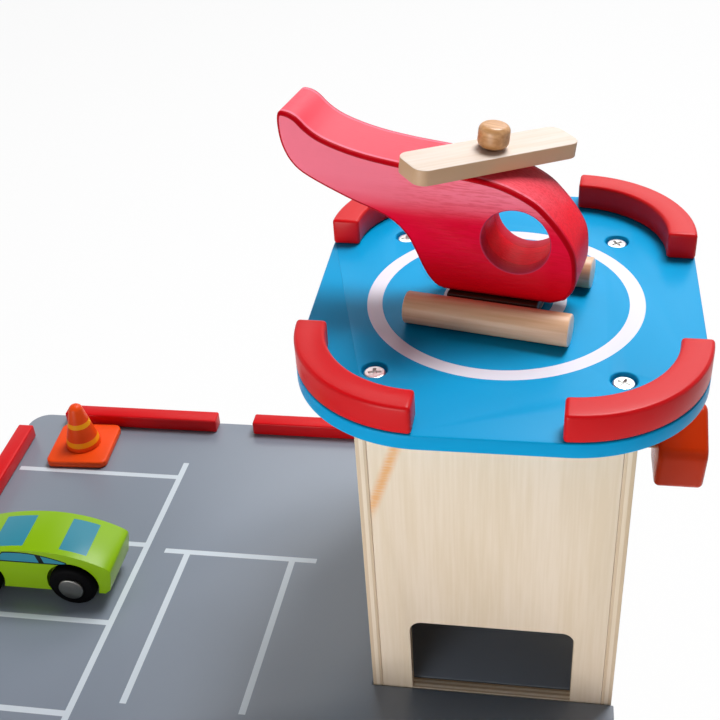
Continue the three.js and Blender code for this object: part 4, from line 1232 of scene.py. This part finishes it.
def printed_windows(tree, place):
    """1 on the car's printed windows, and 1 on the black that frames the side ones."""
    from_car = add(tree, "ShaderNodeVectorMath", {
        0: place, 1: car_place.translation,
    }, "Vector", operation="SUBTRACT")
    along = parts_of(tree, from_car)
    on_side = maths(tree, "GREATER_THAN", facing_along(tree, unit(1)), FACING)
    on_roof = maths(tree, "GREATER_THAN", part_of(tree, coordinates(tree, "Normal"), "Z"), FACING)
    in_y = maths(tree, "COMPARE", along["Y"], 0, ROOF_WINDOW_HALF_WIDTH)
    roof_panes = [
        chained(tree, "MULTIPLY", [between(tree, along["X"], start, end), in_y, on_roof])
        for start, end in ROOF_WINDOWS
    ]
    above_sill = maths(tree, "SUBTRACT", along["Z"], SIDE_WINDOW_SILL)
    from_crown = maths(tree, "SUBTRACT", along["X"], SIDE_WINDOW_CROWN)
    from_crown = maths(tree, "MULTIPLY", from_crown, from_crown)
    arch = maths(tree, "MULTIPLY_ADD", from_crown, -1 / (2 * SIDE_WINDOW_ARCH_RADIUS), SIDE_WINDOW_TOP)
    below_arch = maths(tree, "SUBTRACT", arch, along["Z"])
    start, end = SIDE_WINDOW_ENDS
    before_end = maths(tree, "SUBTRACT", end, along["X"])
    slope = maths(tree, "MULTIPLY_ADD", above_sill, WINDSCREEN_SLOPE, start)
    after_start = maths(tree, "SUBTRACT", along["X"], slope)
    inside = chained(tree, "MINIMUM", [above_sill, below_arch, before_end, after_start])
    side_pane = maths(tree, "MULTIPLY", maths(tree, "GREATER_THAN", inside, 0), on_side)
    glazed = chained(tree, "MAXIMUM", [*roof_panes, side_pane])
    in_trim = maths(tree, "LESS_THAN", inside, TRIM_WIDTH)
    lean = maths(tree, "SUBTRACT", along["Z"], PILLAR_HEIGHT)
    lean = maths(tree, "MULTIPLY_ADD", lean, PILLAR_SLOPE, PILLAR_PLACE)
    in_pillar = maths(tree, "COMPARE", along["X"], lean, PILLAR_HALF_WIDTH)
    framed = maths(tree, "MAXIMUM", in_trim, in_pillar)
    return glazed, maths(tree, "MULTIPLY", framed, side_pane)


def car_paint():
    """Lime enamel with the windows printed on it in light blue and black."""
    material = satin_paint("satin_lime_enamel_on_beech", LIME, roughness=LIME_ROUGHNESS)
    tree = material.node_tree
    glazed, framed = printed_windows(tree, coordinates(tree))
    paint_over(material, glazed, GLASS_BLUE)
    paint_over(material, framed, TRIM_BLACK)
    return material


def at_car(shares):
    """A point of the car's outline, from its shares of the length and of the height."""
    along, up = shares
    return Vector((along * car_length, CAR_SILL + up * car_height))


car_outline = [at_car(shares) for shares in CAR_SILL_SHARES]
car_outline += curve_through([at_car(shares) for shares in CAR_OUTLINE_SHARES], CURVE_STEPS)
car = slab(car_outline, car_high.y - car_low.y)
pocket_floor = CAR_TRACK / 2 - CAR_WHEEL_WIDTH - ARCH_DEPTH_GAP
axle_places = (CAR_FRONT_OVERHANG, car_length - CAR_REAR_OVERHANG)
cut_out(car, [
    bore(
        CAR_WHEEL_RADIUS + ARCH_GAP,
        (x, side * pocket_floor, CAR_WHEEL_RADIUS), (x, side * CAR_TRACK, CAR_WHEEL_RADIUS),
    )
    for x in axle_places for side in (-1, 1)
])
fit(soften(car, CAR_EDGE), "car_body", car_paint(), car_place)

# Painted reflection: the hub caps' plated steel is given a dark grey.
nickel = plated_steel("nickel_plated_steel_with_painted_reflection", SHADED_CAP_GREY)
rubber = satin_paint("moulded_black_rubber", RUBBER_BLACK, roughness=RUBBER_ROUGHNESS, gloss=RUBBER_GLOSS)
for node in [name for name in frame["nodes"] if name.startswith("car_wheel_")]:
    fit(dowel(node, axis=1, edge=TYRE_EDGE), node, rubber)
for node in [name for name in frame["nodes"] if name.startswith("car_axle_")]:
    fit(dowel(node, axis=1, edge=HUB_EDGE), node, nickel)


# Traffic cone
# A turned beech cone glued on a square plywood base with rounded corners, both sprayed orange. Two yellow
# bands are printed round the cone.
CONE_ORANGE = "f04c10"
CONE_ROUGHNESS = 0.38
BAND_YELLOW = "ffa814"
CONE_TURN = math.radians(2.5)
CONE_BASE_CORNER = 0.004
CONE_BASE_SIZE = 0.0335
CONE_EDGE = 0.0010
CONE_TOP_RADIUS = 0.0031
CONE_TIP_ROUNDING = 0.0028
BANDS = ((0.0067, 0.0096), (0.0175, 0.0202))

base_low, base_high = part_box("traffic_cone_base")
cone_middle = (base_low + base_high) / 2
cone_place = Matrix.Translation((cone_middle.x, cone_middle.y, base_low.z))
cone_place = cone_place @ Matrix.Rotation(CONE_TURN, 4, "Z")


def yellow_bands(tree, place):
    """1 on the bands round the cone."""
    height = part_of(tree, place, "Z")
    return chained(tree, "MAXIMUM", [
        between(tree, height, base_low.z + start, base_low.z + end) for start, end in BANDS
    ])


cone_enamel = satin_paint(
    "satin_orange_enamel_on_beech", CONE_ORANGE, yellow_bands, BAND_YELLOW, roughness=CONE_ROUGHNESS,
)
plain_cone_enamel = satin_paint("satin_orange_enamel_on_plywood", CONE_ORANGE, roughness=CONE_ROUGHNESS)
half = CONE_BASE_SIZE / 2
cone_base = round_corners(
    block((-half, -half, 0), (half, half, base_high.z - base_low.z)), CONE_BASE_CORNER, axis=2,
)
fit(soften(cone_base, CONE_EDGE), "traffic_cone_base", plain_cone_enamel, cone_place)

cone_low, cone_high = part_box("traffic_cone")
bpy.ops.object.select_all(action="DESELECT")
bpy.ops.mesh.primitive_cone_add(
    vertices=DOWEL_SIDES, radius1=(cone_high.x - cone_low.x) / 2, radius2=CONE_TOP_RADIUS,
    depth=cone_high.z - cone_low.z, location=(cone_low + cone_high) / 2,
)
tip = all_above((cone_low.z + cone_high.z) / 2)
cone = round_edges(settled(), CONE_TIP_ROUNDING, CORNER_SEGMENTS, tip)
fit(soften(cone, BOARD_EDGE), "traffic_cone", cone_enamel)
